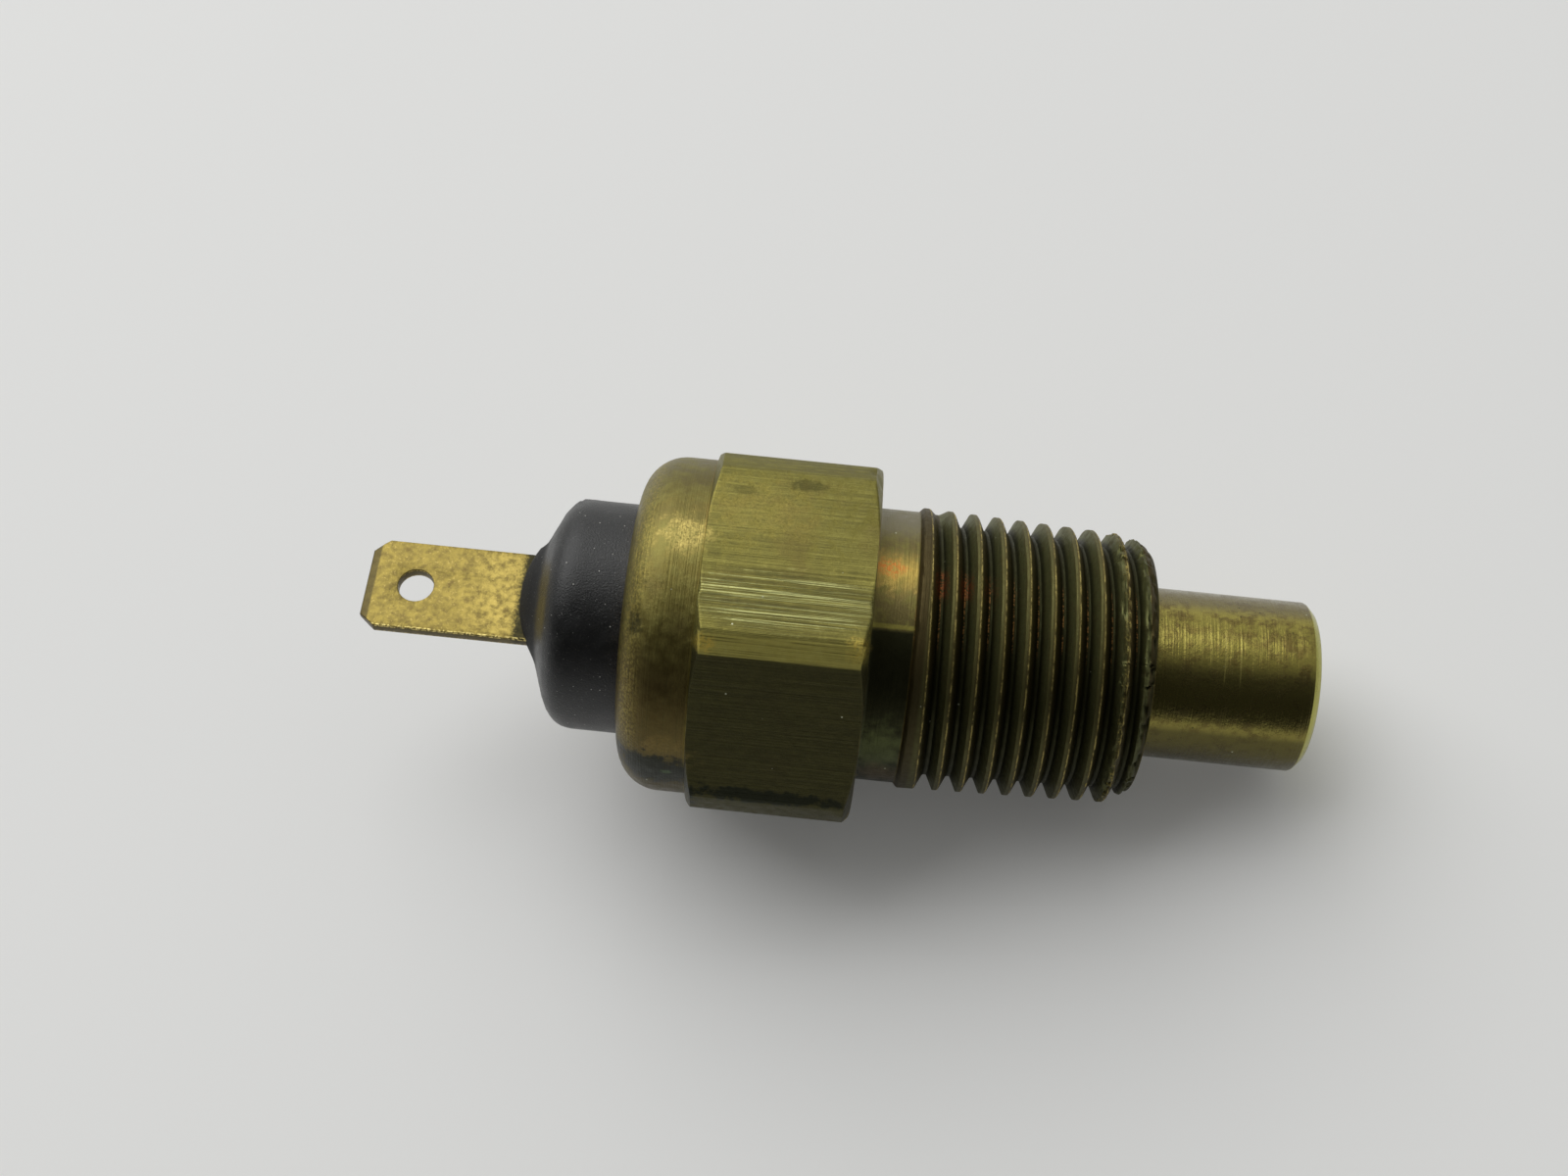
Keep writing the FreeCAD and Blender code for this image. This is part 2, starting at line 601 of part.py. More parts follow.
# Moving contact: a rivet through the hub of the contact spring


def make_moving_contact():
    body = new_body("moving_contact")
    turn(body, [
        ("moving_face", "axis_line"),
        ("moving_face", "contact_head_radius"),
        ("spring_start", "contact_head_radius"),
        ("spring_start", "contact_shank_radius"),
        ("spring_end", "contact_shank_radius"),
        ("spring_end", "contact_tail_radius"),
        ("contact_end", "contact_tail_radius"),
        ("contact_end", "axis_line"),
    ])
    return body


# Contact spring: a flat sheet, clamped at its rim, whose three arms carry the moving contact


SPRING_ARMS = 3


def make_contact_spring():
    body = new_body("contact_spring")
    outline = new_sketch(body, "spring_outline", "YZ_Plane", "spring_start")
    draw_circle(outline, "axis_line", "axis_line", "stack_radius")
    draw_circle(outline, "axis_line", "axis_line", "spring_hole_radius")
    sheet = body.newObject("PartDesign::Pad", "spring_sheet")
    sheet.Profile = outline
    sheet.setExpression("Length", cell("spring_thickness"))
    doc.recompute()

    window = new_sketch(body, "window", "YZ_Plane", "spring_start")
    draw_outline(window, [
        ("window_inner", "window_low"),
        ("window_outer", "window_low"),
        ("window_outer", "window_high"),
        ("window_inner", "window_high"),
    ])
    opened = body.newObject("PartDesign::Pocket", "first_window")
    opened.Profile = window
    opened.Reversed = True
    opened.setExpression("Length", f"2 * {cell('spring_thickness')}")
    doc.recompute()
    require_cut(sheet, opened, "the spring's window")
    arms = body.newObject("PartDesign::PolarPattern", "windows")
    arms.Originals = [opened]
    arms.Axis = (window, ["N_Axis"])
    arms.Angle = 360
    arms.Occurrences = SPRING_ARMS
    body.Tip = arms
    doc.recompute()
    require_cut(opened, arms, "the other windows")
    return body


def make_pin():
    body = new_body("push_pin")
    turn(body, [
        ("pin_start", "axis_line"),
        ("pin_start", "pin_tip_radius"),
        ("pin_chamfer_start", "pin_radius"),
        ("pin_chamfer_end", "pin_radius"),
        ("pin_end", "pin_tip_radius"),
        ("pin_end", "axis_line"),
    ])
    return body


# Pin guide: moulded sleeve that stands on the chamber's floor and keeps the disc on its ledge


def make_guide():
    body = new_body("pin_guide")
    turn(body, [
        ("guide_neck_start", "guide_bore_radius"),
        ("guide_neck_start", "guide_neck_radius"),
        ("spacer_end", "guide_neck_radius"),
        ("spacer_end", "stack_radius"),
        ("chamber_end", "stack_radius"),
        ("chamber_end", "guide_sleeve_radius"),
        ("guide_end", "guide_sleeve_radius"),
        ("guide_end", "recess_radius"),
        ("guide_relief_start", "recess_radius"),
        ("guide_relief_start", "guide_bore_radius"),
    ])
    return body


# Bimetal disc: a dished disc cut from a thin round shell; its dome points to the nose


def make_disc():
    outer = doc.addObject("Part::Sphere", "dome_outside")
    outer.setExpression("Radius", cell("dome_radius"))
    outer.setExpression("Placement.Base.x", cell("dome_centre"))
    inner = doc.addObject("Part::Sphere", "dome_inside")
    inner.setExpression("Radius", cell("dome_inner_radius"))
    inner.setExpression("Placement.Base.x", cell("dome_centre"))
    shell = doc.addObject("Part::Cut", "dome_shell")
    shell.Base = outer
    shell.Tool = inner

    blank = doc.addObject("Part::Cylinder", "disc_blank")
    blank.Placement.Rotation = FreeCAD.Rotation(FreeCAD.Vector(0, 1, 0), 90)
    blank.setExpression("Placement.Base.x", cell("dome_centre"))
    blank.setExpression("Radius", cell("disc_radius"))
    blank.setExpression("Height", f"2 * {cell('dome_radius')}")

    disc = doc.addObject("Part::Common", "bimetal_disc")
    disc.Label = "bimetal_disc"
    disc.Base = shell
    disc.Tool = blank
    doc.recompute()
    return disc


pieces = [
    make_switch_body(),
    make_insulator(),
    make_blade(),
    make_stud(),
    ring("seal_gasket", "flange_inside", "gasket_shoulder", "gasket_bore_radius", "flange_radius"),
    ring("seat_ring", "spigot_end", "spring_start", "stack_bore_radius", "stack_radius"),
    ring("spacer_tube", "spring_end", "spacer_end", "stack_bore_radius", "stack_radius"),
    ring("fixed_contact_tip", "stud_end", "fixed_tip_end", "axis_line", "fixed_tip_radius"),
    make_moving_contact(),
    make_contact_spring(),
    make_pin(),
    make_guide(),
    make_disc(),
]

# Rest: turned nose down about the Y axis, then set on the ground with the origin under its middle


def lay_down(pieces):
    tilt = FreeCAD.Rotation(FreeCAD.Vector(0, 1, 0), value("rest_tilt"))
    tilted = FreeCAD.Placement(FreeCAD.Vector(0, 0, 0), tilt)
    every_shape = Part.makeCompound([piece.Shape for piece in pieces])
    every_shape.Placement = tilted
    box = every_shape.optimalBoundingBox(False, False)
    middle = FreeCAD.Vector(-(box.XMin + box.XMax) / 2, -(box.YMin + box.YMax) / 2, -box.ZMin)
    rest = FreeCAD.Placement(middle, tilt)
    for piece in pieces:
        piece.Placement = rest
    doc.recompute()
    return rest


rest = lay_down(pieces)

for item in doc.Objects:
    if "Invalid" in item.State or "Error" in item.State:
        raise RuntimeError(f"{item.Name} failed: {item.State}")

os.makedirs("parts", exist_ok=True)
for piece in pieces:
    shape = piece.Shape
    if shape.isNull() or not shape.isValid() or len(shape.Solids) != 1:
        raise RuntimeError(f"{piece.Label} is not one sound solid")
    shape.exportStep(f"parts/{piece.Label}.step")
    print(f"{piece.Label}: {shape.Volume:.1f} cubic mm")

print(f"laid down by {value('rest_tilt'):.2f} degrees, moved by {rest.Base}")
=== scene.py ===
# %% [markdown]
# # A coolant temperature switch
#
# The switch is a small brass turning that screws into an engine. It has a hexagon for the spanner, a
# taper thread, a plain nose that sits in the coolant, and a black moulding that carries one flat blade
# terminal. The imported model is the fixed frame: every piece made here goes where that model says.

# %% Load the frame
import json
import math
from functools import partial

import bmesh
import bpy
import numpy as np
from mathutils import Matrix, Vector


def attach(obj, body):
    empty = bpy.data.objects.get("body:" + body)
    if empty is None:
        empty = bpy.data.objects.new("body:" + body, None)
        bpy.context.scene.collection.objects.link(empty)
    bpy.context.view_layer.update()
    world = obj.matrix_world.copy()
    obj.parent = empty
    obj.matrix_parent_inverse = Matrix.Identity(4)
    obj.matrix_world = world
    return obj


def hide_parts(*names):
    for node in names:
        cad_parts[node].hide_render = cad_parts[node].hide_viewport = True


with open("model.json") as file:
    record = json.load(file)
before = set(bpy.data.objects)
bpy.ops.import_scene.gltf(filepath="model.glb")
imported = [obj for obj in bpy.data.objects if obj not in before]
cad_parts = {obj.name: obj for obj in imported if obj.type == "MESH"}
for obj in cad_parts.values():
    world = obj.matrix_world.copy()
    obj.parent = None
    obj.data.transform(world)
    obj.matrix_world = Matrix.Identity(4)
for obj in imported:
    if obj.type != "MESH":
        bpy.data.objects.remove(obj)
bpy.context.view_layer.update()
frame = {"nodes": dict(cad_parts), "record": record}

# %% [markdown]
# ## One ruler for everything
#
# The switch lies nose down, so its own axis isn't an axis of the room. All pieces are drawn in the
# switch's own frame first, in millimetres: X runs from the terminal to the nose and is 0 at the face of
# the rolled rim, and Z stands on a flat of the hexagon. A place along X is called a station. The mounts
# in the record give that frame, and one matrix carries a finished mesh into the room.

# %% The switch's own frame
MILLIMETRE = 0.001
COLLAR_LENGTH = 4.6
HEX_LENGTH = 10.4
NECK_LENGTH = 2.6
THREAD_LENGTH = 14.75
NOSE_LENGTH = 10.65

HEX_END = COLLAR_LENGTH + HEX_LENGTH
NECK_END = HEX_END + NECK_LENGTH
BOSS_END = NECK_END + THREAD_LENGTH
NOSE_END = BOSS_END + NOSE_LENGTH

mounts = {mount["name"]: mount for mount in frame["record"]["mounts"]}
along = Vector(mounts["taper_thread"]["axis"]).normalized()
flat_up = Vector(mounts["hexagon_flat"]["axis"]).normalized()
aside = flat_up.cross(along)
rim_point = Vector(mounts["taper_thread"]["pos_m"]) - along * NECK_END * MILLIMETRE
switch_turn = Matrix((along, aside, flat_up)).transposed()
switch_place = Matrix.Translation(rim_point) @ switch_turn.to_4x4() @ Matrix.Scale(MILLIMETRE, 4)
print("rim at", [round(c * 1000, 3) for c in rim_point], "mm, axis", [round(c, 4) for c in along])

# %% [markdown]
# ## The camera
#
# The photograph was taken from close by, a hand's width above the switch, so the thread crowns bulge
# and the blade shows its edge. The place and the lens come from a fit of the turned outlines. They are
# given in the switch's own frame, as a height above the flat and a distance from the axis.

# %% Camera at the photograph's place
VIEW_STATION = 11.495
VIEW_DISTANCE = 121.5
VIEW_HEIGHT_DEG = 62.1
VIEW_DEG = 180 - VIEW_HEIGHT_DEG
VIEW_TURNS_DEG = (1.408, 0.970, 5.800)
LENS_MM = 43.3
SENSOR_MM = 36.0

view_height = math.radians(VIEW_HEIGHT_DEG)
facing = Vector((0, -math.cos(view_height), math.sin(view_height)))
image_up = Vector((0, math.sin(view_height), math.cos(view_height)))
base_turn = Matrix((Vector((1, 0, 0)), image_up, facing)).transposed()
small_turns = [Matrix.Rotation(math.radians(turn), 3, axis) for turn, axis in zip(VIEW_TURNS_DEG, "XYZ")]
camera_turn = switch_turn @ base_turn @ small_turns[0] @ small_turns[1] @ small_turns[2]
camera_spot = switch_place @ (Vector((VIEW_STATION, 0, 0)) + facing * VIEW_DISTANCE)

camera = bpy.data.objects.new("camera", bpy.data.cameras.new("camera"))
camera.data.lens = LENS_MM
camera.data.sensor_width = SENSOR_MM
camera.data.clip_start = 0.005
camera.data.clip_end = 20
camera.matrix_world = Matrix.Translation(camera_spot) @ camera_turn.to_4x4()
bpy.context.scene.collection.objects.link(camera)
bpy.context.scene.camera = camera
print("camera at", [round(c * 1000, 1) for c in camera_spot], "mm")

# %% [markdown]
# ## Short words for node trees
#
# The finishes and the thread are both node trees. A few short functions keep them readable: one links or
# sets a socket, one adds a node, one does arithmetic, and one carries a value from one range to another.

# %% Words for node trees


def plug(tree, socket, value):
    """Sets a socket, or links it where the value is another node's output."""
    if isinstance(value, bpy.types.NodeSocket):
        tree.links.new(value, socket)
    else:
        socket.default_value = value


def add_node(tree, kind, inputs=None, **settings):
    """One node with its settings and inputs."""
    node = tree.nodes.new(kind)
    for name, value in settings.items():
        setattr(node, name, value)
    for name, value in (inputs or {}).items():
        plug(tree, node.inputs[name], value)
    return node


def calc(tree, operation, *values, clamp=False):
    """The result of one Math node."""
    node = add_node(tree, "ShaderNodeMath", operation=operation, use_clamp=clamp)
    for socket, value in zip(node.inputs, values):
        plug(tree, socket, value)
    return node.outputs[0]


def remap(tree, value, low, high, to_low=0.0, to_high=1.0, kind="SMOOTHSTEP"):
    """Carries a value from one range to another and stops at its ends."""
    inputs = {"Value": value, "From Min": low, "From Max": high, "To Min": to_low, "To Max": to_high}
    return add_node(tree, "ShaderNodeMapRange", inputs, interpolation_type=kind).outputs["Result"]


def noise(tree, vector, scale, detail=4.0, roughness=0.55, distortion=0.0):
    """Cloudy noise from 0 to 1. The scale counts patches per millimetre."""
    inputs = {"Vector": vector, "Scale": scale, "Detail": detail, "Roughness": roughness}
    inputs["Distortion"] = distortion
    return add_node(tree, "ShaderNodeTexNoise", inputs).outputs[0]


def stretch(tree, vector, factors):
    """The same place, with each direction scaled by its own factor."""
    return add_node(tree, "ShaderNodeVectorMath", {0: vector, 1: factors}, operation="MULTIPLY").outputs[0]


def both(tree, *masks):
    """Where all masks hold."""
    result = masks[0]
    for mask in masks[1:]:
        result = calc(tree, "MULTIPLY", result, mask)
    return result


def layer(tree, below, colour, mask):
    """One colour over another, as far as the mask says."""
    node = add_node(tree, "ShaderNodeMix", data_type="RGBA")
    plug(tree, node.inputs[0], mask)
    plug(tree, node.inputs[6], below)
    plug(tree, node.inputs[7], colour)
    return node.outputs[2]


def specks(tree, point, per_millimetre, size, share):
    """Small round specks: the middles of some of the cells of a Voronoi pattern."""
    cells = add_node(tree, "ShaderNodeTexVoronoi", {"Vector": point, "Scale": per_millimetre})
    chosen = add_node(tree, "ShaderNodeSeparateColor", {"Color": cells.outputs["Color"]}).outputs[0]
    near = remap(tree, cells.outputs["Distance"], size * 0.5, size, 1.0, 0.0)
    return both(tree, near, remap(tree, chosen, 1 - share, 1 - share + 0.02, kind="LINEAR"))


# %% [markdown]
# ## Where a point lies on the switch
#
# Stains and tool marks belong to places: the rim, a flat, the third thread. One node group turns object
# coordinates into the switch's own: the station along the axis, the radius, and the angle round the
# axis, which is 0 where the photograph looks and grows towards the far side. A patch is then a station,
# an angle and two sizes with a ragged edge, and every finish uses the same words.

# %% Place on the switch
view_turn = Matrix((Vector((1, 0, 0)), image_up, facing)) @ switch_turn.transposed()
view_shift = -(view_turn @ rim_point) / MILLIMETRE


def place_group():
    """The node group that says where a point lies, in millimetres and degrees."""
    tree = bpy.data.node_groups.new("place on the switch", "ShaderNodeTree")
    tree.interface.new_socket("Point", in_out="OUTPUT", socket_type="NodeSocketVector")
    for name in ("Station", "Radius", "Angle"):
        tree.interface.new_socket(name, in_out="OUTPUT", socket_type="NodeSocketFloat")
    point = add_node(tree, "ShaderNodeMapping", {
        "Vector": add_node(tree, "ShaderNodeTexCoord").outputs["Object"], "Location": view_shift,
        "Rotation": view_turn.to_euler(), "Scale": (1 / MILLIMETRE,) * 3,
    }).outputs[0]
    parts = add_node(tree, "ShaderNodeSeparateXYZ", {0: point}).outputs
    squares = calc(tree, "ADD", calc(tree, "POWER", parts[1], 2.0), calc(tree, "POWER", parts[2], 2.0))
    radius = calc(tree, "SQRT", squares)
    angle = calc(tree, "DEGREES", calc(tree, "ARCTAN2", parts[1], parts[2]))
    add_node(tree, "NodeGroupOutput", {"Point": point, "Station": parts[0], "Radius": radius, "Angle": angle})
    return tree


def patch_group():
    """The node group that marks a ragged patch round one station and angle."""
    tree = bpy.data.node_groups.new("ragged patch", "ShaderNodeTree")
    for name in ("Station", "Angle", "Ragged", "At Station", "At Angle", "Half Length", "Half Angle", "Soft"):
        tree.interface.new_socket(name, in_out="INPUT", socket_type="NodeSocketFloat")
    tree.interface.new_socket("Mask", in_out="OUTPUT", socket_type="NodeSocketFloat")
    given = add_node(tree, "NodeGroupInput").outputs
    off_station = calc(tree, "SUBTRACT", given["Station"], given["At Station"])
    off_angle = calc(tree, "SUBTRACT", given["Angle"], given["At Angle"])
    along_share = calc(tree, "DIVIDE", off_station, given["Half Length"])
    round_share = calc(tree, "DIVIDE", off_angle, given["Half Angle"])
    squares = calc(tree, "ADD", calc(tree, "POWER", along_share, 2.0), calc(tree, "POWER", round_share, 2.0))
    away = calc(tree, "ADD", calc(tree, "SQRT", squares), given["Ragged"])
    low = calc(tree, "SUBTRACT", 1.0, given["Soft"])
    mask = remap(tree, away, low, calc(tree, "ADD", 1.0, given["Soft"]), 1.0, 0.0)
    add_node(tree, "NodeGroupOutput", {"Mask": mask})
    return tree


place_nodes = place_group()
patch_nodes = patch_group()


def start_finish(name, metallic, roughness):
    """A new material with its tree, its shader and the place on the switch."""
    material = bpy.data.materials.new(name)
    material.use_nodes = True
    tree = material.node_tree
    shader = tree.nodes["Principled BSDF"]
    shader.inputs["Metallic"].default_value = metallic
    shader.inputs["Roughness"].default_value = roughness
    place = add_node(tree, "ShaderNodeGroup", node_tree=place_nodes).outputs
    return material, tree, shader, place


def patch(tree, place, station, angle, half_length, half_angle, ragged=0.0, soft=0.3):
    """A ragged patch on the switch. The raggedness is a noise, or 0 for a smooth edge."""
    return add_node(tree, "ShaderNodeGroup", {
        "Station": place["Station"], "Angle": place["Angle"], "Ragged": ragged, "At Station": station,
        "At Angle": angle, "Half Length": half_length, "Half Angle": half_angle, "Soft": soft,
    }, node_tree=patch_nodes).outputs[0]


def between(tree, value, low, high, soft=0.1):
    """1 between two values, with soft edges."""
    rise = remap(tree, value, low - soft, low + soft)
    return both(tree, rise, remap(tree, value, high - soft, high + soft, 1.0, 0.0))


def relief(tree, shader, height, depth, normal=None):
    """Gives the shader a bump of that height, in millimetres."""
    inputs = {"Height": height, "Strength": 1.0, "Distance": depth * MILLIMETRE}
    if normal is not None:
        inputs["Normal"] = normal
    bump = add_node(tree, "ShaderNodeBump", inputs).outputs[0]
    plug(tree, shader.inputs["Normal"], bump)
    return bump


print("place group:", len(place_nodes.nodes), "nodes, patch group:", len(patch_nodes.nodes), "nodes")

# %% [markdown]
# ## Sizes of the thread
#
# The thread is a right-hand taper thread, so its groove winds on while the cone under it narrows. Its
# shape follows these sizes, and so do the grime in its groove and the rubbed line on its crest. That is
# why they come before both.

# %% Thread sizes
NECK_RADIUS = 8.72
CREST_RADIUS = 9.015
HALF_ANGLE_DEG = 1.79
PITCH = 1.5
THREAD_DEPTH = 0.95
CREST_WIDTH = 0.32
ROOT_WIDTH = 0.26
RUNOUT = 1.10
START_SLOPE = 1.1
LEAD_IN_LENGTH = 1.25
LEAD_IN_DEPTH = 0.84

taper = math.tan(math.radians(HALF_ANGLE_DEG))
end_crest_radius = CREST_RADIUS - (THREAD_LENGTH - LEAD_IN_LENGTH) * taper
print("turns:", round(THREAD_LENGTH / PITCH, 1), "last crest radius:", round(end_crest_radius, 3), "mm")

# %% [markdown]
# ## Tarnished brass
#
# The body was bright brass once. Its tarnish differs by zone: golden brown on the rolled rim, olive with
# drawn lines on the hexagon, orange specks in a painted highlight on the neck, dark grime in the thread
# and turned rings on the nose. Some coats are painted light and shade: darker below, a painted grey
# reflection towards the far side, a painted dark band on the nose, lit and shaded thread flanks and
# painted glints. A painted picture wrapped round it would do as well, but it would blur close by and
# would have to be painted again for another size. So each zone is mixed from a few noises that all zones
# share, and a zone is a short list of coats, from the base up. Each coat is a colour and the masks that
# have to hold.

# %% Palette of the tarnish and of the painted light
# Dark olive, red brown and grime are also the colours of painted shade below
OLIVE = (0.215, 0.180, 0.055, 1)
DARK_OLIVE_AND_SHADE = (0.062, 0.055, 0.022, 1)
GOLD = (0.50, 0.38, 0.12, 1)
BRIGHT_GOLD = (0.72, 0.52, 0.13, 1)
RUBBED_GOLD = (0.66, 0.50, 0.20, 1)
GOLDEN_BROWN = (0.26, 0.175, 0.065, 1)
RED_BROWN_AND_SHADE = (0.088, 0.056, 0.025, 1)
GRIME_AND_SHADE = (0.030, 0.029, 0.015, 1)
BLACK_STAIN = (0.014, 0.016, 0.011, 1)
VERDIGRIS = (0.10, 0.15, 0.085, 1)
# A painted highlight on the neck, yellow with orange specks, and the red of a painted glint on the thread
NECK_HIGHLIGHT_YELLOW = (0.56, 0.38, 0.110, 1)
NECK_HIGHLIGHT_ORANGE = (0.62, 0.175, 0.05, 1)
GLINT_RED = (0.34, 0.075, 0.03, 1)
DUST = (0.62, 0.61, 0.57, 1)
print("from", BLACK_STAIN[:3], "to", BRIGHT_GOLD[:3])


def coats(tree, below, *listed):
    """Several coats over one another. Each is a colour, then the masks that all have to hold."""
    for tint, *masks in listed:
        below = layer(tree, below, tint, both(tree, *masks))
    return below


# %% Grain, and painted light and shade, that all zones share
def brass_grain(tree, point):
    """Noises by name: cloudy ones, and lines that the drawing, the lathe or the spanner left."""
    mottle = noise(tree, point, 1.6, 6.0, 0.62)
    return {
        "clouds": noise(tree, point, 0.35, 5.0, 0.6),
        "mottle": mottle,
        "fine": noise(tree, point, 6.0, 4.0, 0.6),
        "drawn": noise(tree, stretch(tree, point, (0.10, 9.0, 9.0)), 1.0, 4.0, 0.72),
        "scratched": noise(tree, stretch(tree, point, (0.05, 9.0, 9.0)), 1.0, 2.0, 0.75),
        "turned": noise(tree, stretch(tree, point, (9.0, 0.12, 0.12)), 1.0, 3.0, 0.6),
        "ragged": calc(tree, "MULTIPLY", calc(tree, "SUBTRACT", mottle, 0.5), 2.6),
    }


def painted_light_by_angle(tree, angle):
    """Masks round the axis for painted light: shade below and on the underside, and a grey reflection on the
    far side.
    """
    return {
        "below": remap(tree, angle, 4.0, -26.0),
        "underside": remap(tree, angle, -32.0, -42.0),
        "far side": both(tree, remap(tree, angle, 45.0, 59.0), remap(tree, angle, 96.0, 76.0)),
    }


# %% Collar and hexagon
COLLAR_TONES = ((0.165, 0.132, 0.044, 1), (0.230, 0.196, 0.072, 1))
COLLAR_BROWN = (0.130, 0.098, 0.042, 1)
COLLAR_UNDERSIDE_SHADE = (0.055, 0.046, 0.022, 1)
HEX_TONES = ((0.160, 0.136, 0.040, 1), (0.265, 0.230, 0.076, 1))
HEX_LINES = (0.125, 0.108, 0.042, 1)
HEX_BROWN = (0.16, 0.115, 0.045, 1)
HEX_LOWER_FLAT_SHADE = (0.036, 0.033, 0.017, 1)
CORNER_GOLD = (0.56, 0.48, 0.17, 1)


def collar_colour(tree, place, grain, painted_light):
    """Golden brown with rubbed gold on the rim, and painted shade that makes it redder and darker below."""
    return coats(
        tree, layer(tree, *COLLAR_TONES, remap(tree, grain["mottle"], 0.36, 0.72)),
        (COLLAR_BROWN, remap(tree, grain["clouds"], 0.45, 0.65), 0.55),
        # Painted shade: red brown and darker turned lines below, and a dark underside
        (RED_BROWN_AND_SHADE, painted_light["below"], 0.72),
        (GOLD, between(tree, place["Station"], 0.2, 1.4, 0.5), remap(tree, grain["fine"], 0.40, 0.66), 0.42),
        (DARK_OLIVE_AND_SHADE, remap(tree, grain["turned"], 0.56, 0.70), painted_light["below"], 0.5),
        (COLLAR_UNDERSIDE_SHADE, remap(tree, place["Angle"], -40.0, -60.0), 0.6),
    )


def hexagon_colour(tree, place, grain, near_corner):
    """Olive with drawn lines, mottled towards the far edge, with painted shade on the flat below the near
    corner.
    """
    upper = both(tree, remap(tree, place["Angle"], 18.0, 34.0), 0.75)
    to_mottle = calc(tree, "SUBTRACT", grain["mottle"], grain["drawn"])
    tone = calc(tree, "ADD", grain["drawn"], both(tree, upper, to_mottle))
    line_dark = both(tree, remap(tree, grain["drawn"], 0.62, 0.40), remap(tree, grain["mottle"], 0.36, 0.62))
    return coats(
        tree, layer(tree, *HEX_TONES, remap(tree, tone, 0.38, 0.66)),
        (HEX_LINES, line_dark, 0.7),
        (HEX_BROWN, remap(tree, grain["clouds"], 0.50, 0.70), 0.4),
        # Painted shade on the lower flat
        (HEX_LOWER_FLAT_SHADE, remap(tree, place["Angle"], -4.5, -8.5), 0.86),
        (CORNER_GOLD, near_corner, remap(tree, grain["drawn"], 0.30, 0.55), 0.80),
    )


# %% Neck and nose
NECK_TONES = ((0.155, 0.120, 0.055, 1), (0.21, 0.175, 0.065, 1))
NECK_GREY_REFLECTION = (0.23, 0.20, 0.165, 1)
NECK_EDGE_GOLD = (0.42, 0.36, 0.10, 1)
NECK_GREEN = (0.095, 0.108, 0.045, 1)
NOSE_TONES = ((0.330, 0.270, 0.082, 1), (0.235, 0.175, 0.058, 1))
NOSE_BROWN = (0.13, 0.088, 0.036, 1)
NOSE_RINGS = (0.36, 0.30, 0.10, 1)
NOSE_GREY_REFLECTION = (0.17, 0.135, 0.090, 1)
NOSE_UNDERSIDE_SHADE = (0.080, 0.066, 0.028, 1)
NOSE_DARK_BAND_SHADE = (0.085, 0.072, 0.032, 1)
SCRATCH_GOLD = (0.50, 0.42, 0.16, 1)
NOSE_END_GOLD = (0.44, 0.40, 0.13, 1)
NOSE_SCRATCHES = (36.96, 37.93)
SCRATCH_HALF_WIDTH = 0.03


def neck_colour(tree, place, grain, painted_light):
    """A painted highlight with orange specks on the upper side, a gold line in the middle, black painted
    shade and then green below.
    """
    angle, fine, ragged = place["Angle"], grain["fine"], grain["ragged"]
    # A painted highlight on the upper side: a yellow patch, with orange specks in it
    highlight_specks = patch(tree, place, 15.8, 32.5, 0.8, 3.6, ragged, 0.8)
    return coats(
        tree, layer(tree, *NECK_TONES, remap(tree, grain["mottle"], 0.40, 0.66)),
        # Painted grey reflection on the far side
        (NECK_GREY_REFLECTION, painted_light["far side"], 0.7),
        (NECK_HIGHLIGHT_YELLOW, patch(tree, place, 16.2, 31.0, 1.9, 7.0, ragged, 0.9), 0.7),
        (NECK_HIGHLIGHT_ORANGE, highlight_specks, remap(tree, fine, 0.40, 0.56), 0.75),
        (NECK_EDGE_GOLD, between(tree, angle, 6.6, 8.4, 0.5), 0.6),
        # Black painted shade below the gold line
        (GRIME_AND_SHADE, remap(tree, angle, 7.0, 5.0)),
        (NECK_GREEN, patch(tree, place, 16.2, -48.0, 1.5, 12.0, ragged, 0.8), 0.55),
        (RED_BROWN_AND_SHADE, patch(tree, place, 16.6, -68.0, 1.2, 9.0, ragged, 0.5), 0.7),
    )


def nose_colour(tree, place, grain, painted_light):
    """Gold with turned rings, brown mottling, two scratches round it, a bright end, and painted reflection
    and shade.
    """
    station, angle = place["Station"], place["Angle"]
    brown = both(tree, remap(tree, grain["clouds"], 0.46, 0.66), remap(tree, grain["mottle"], 0.4, 0.6))
    colour = coats(
        tree, layer(tree, *NOSE_TONES, remap(tree, grain["mottle"], 0.44, 0.66)),
        (NOSE_BROWN, brown, 0.75),
        (NOSE_RINGS, remap(tree, grain["turned"], 0.52, 0.66), 0.4),
        # Painted light: a grey reflection on the far side, shade on the underside and in a dark band lower
        # down
        (NOSE_GREY_REFLECTION, painted_light["far side"], 0.75),
        (NOSE_UNDERSIDE_SHADE, painted_light["underside"], 0.85),
        (NOSE_DARK_BAND_SHADE, between(tree, angle, -32.0, 8.0, 8.0), 0.75),
        (BLACK_STAIN, specks(tree, place["Point"], 1.6, 0.12, 0.25), 0.8),
    )
    for at_station in NOSE_SCRATCHES:
        low, high = at_station - SCRATCH_HALF_WIDTH, at_station + SCRATCH_HALF_WIDTH
        scratch = between(tree, station, low, high, SCRATCH_HALF_WIDTH)
        upper_side = both(tree, remap(tree, angle, 34.0, 28.0), remap(tree, angle, -6.0, 2.0))
        colour = coats(tree, colour, (SCRATCH_GOLD, scratch, upper_side, 0.6))
    return layer(tree, colour, NOSE_END_GOLD, remap(tree, station, NOSE_END - 0.54, NOSE_END - 0.44))


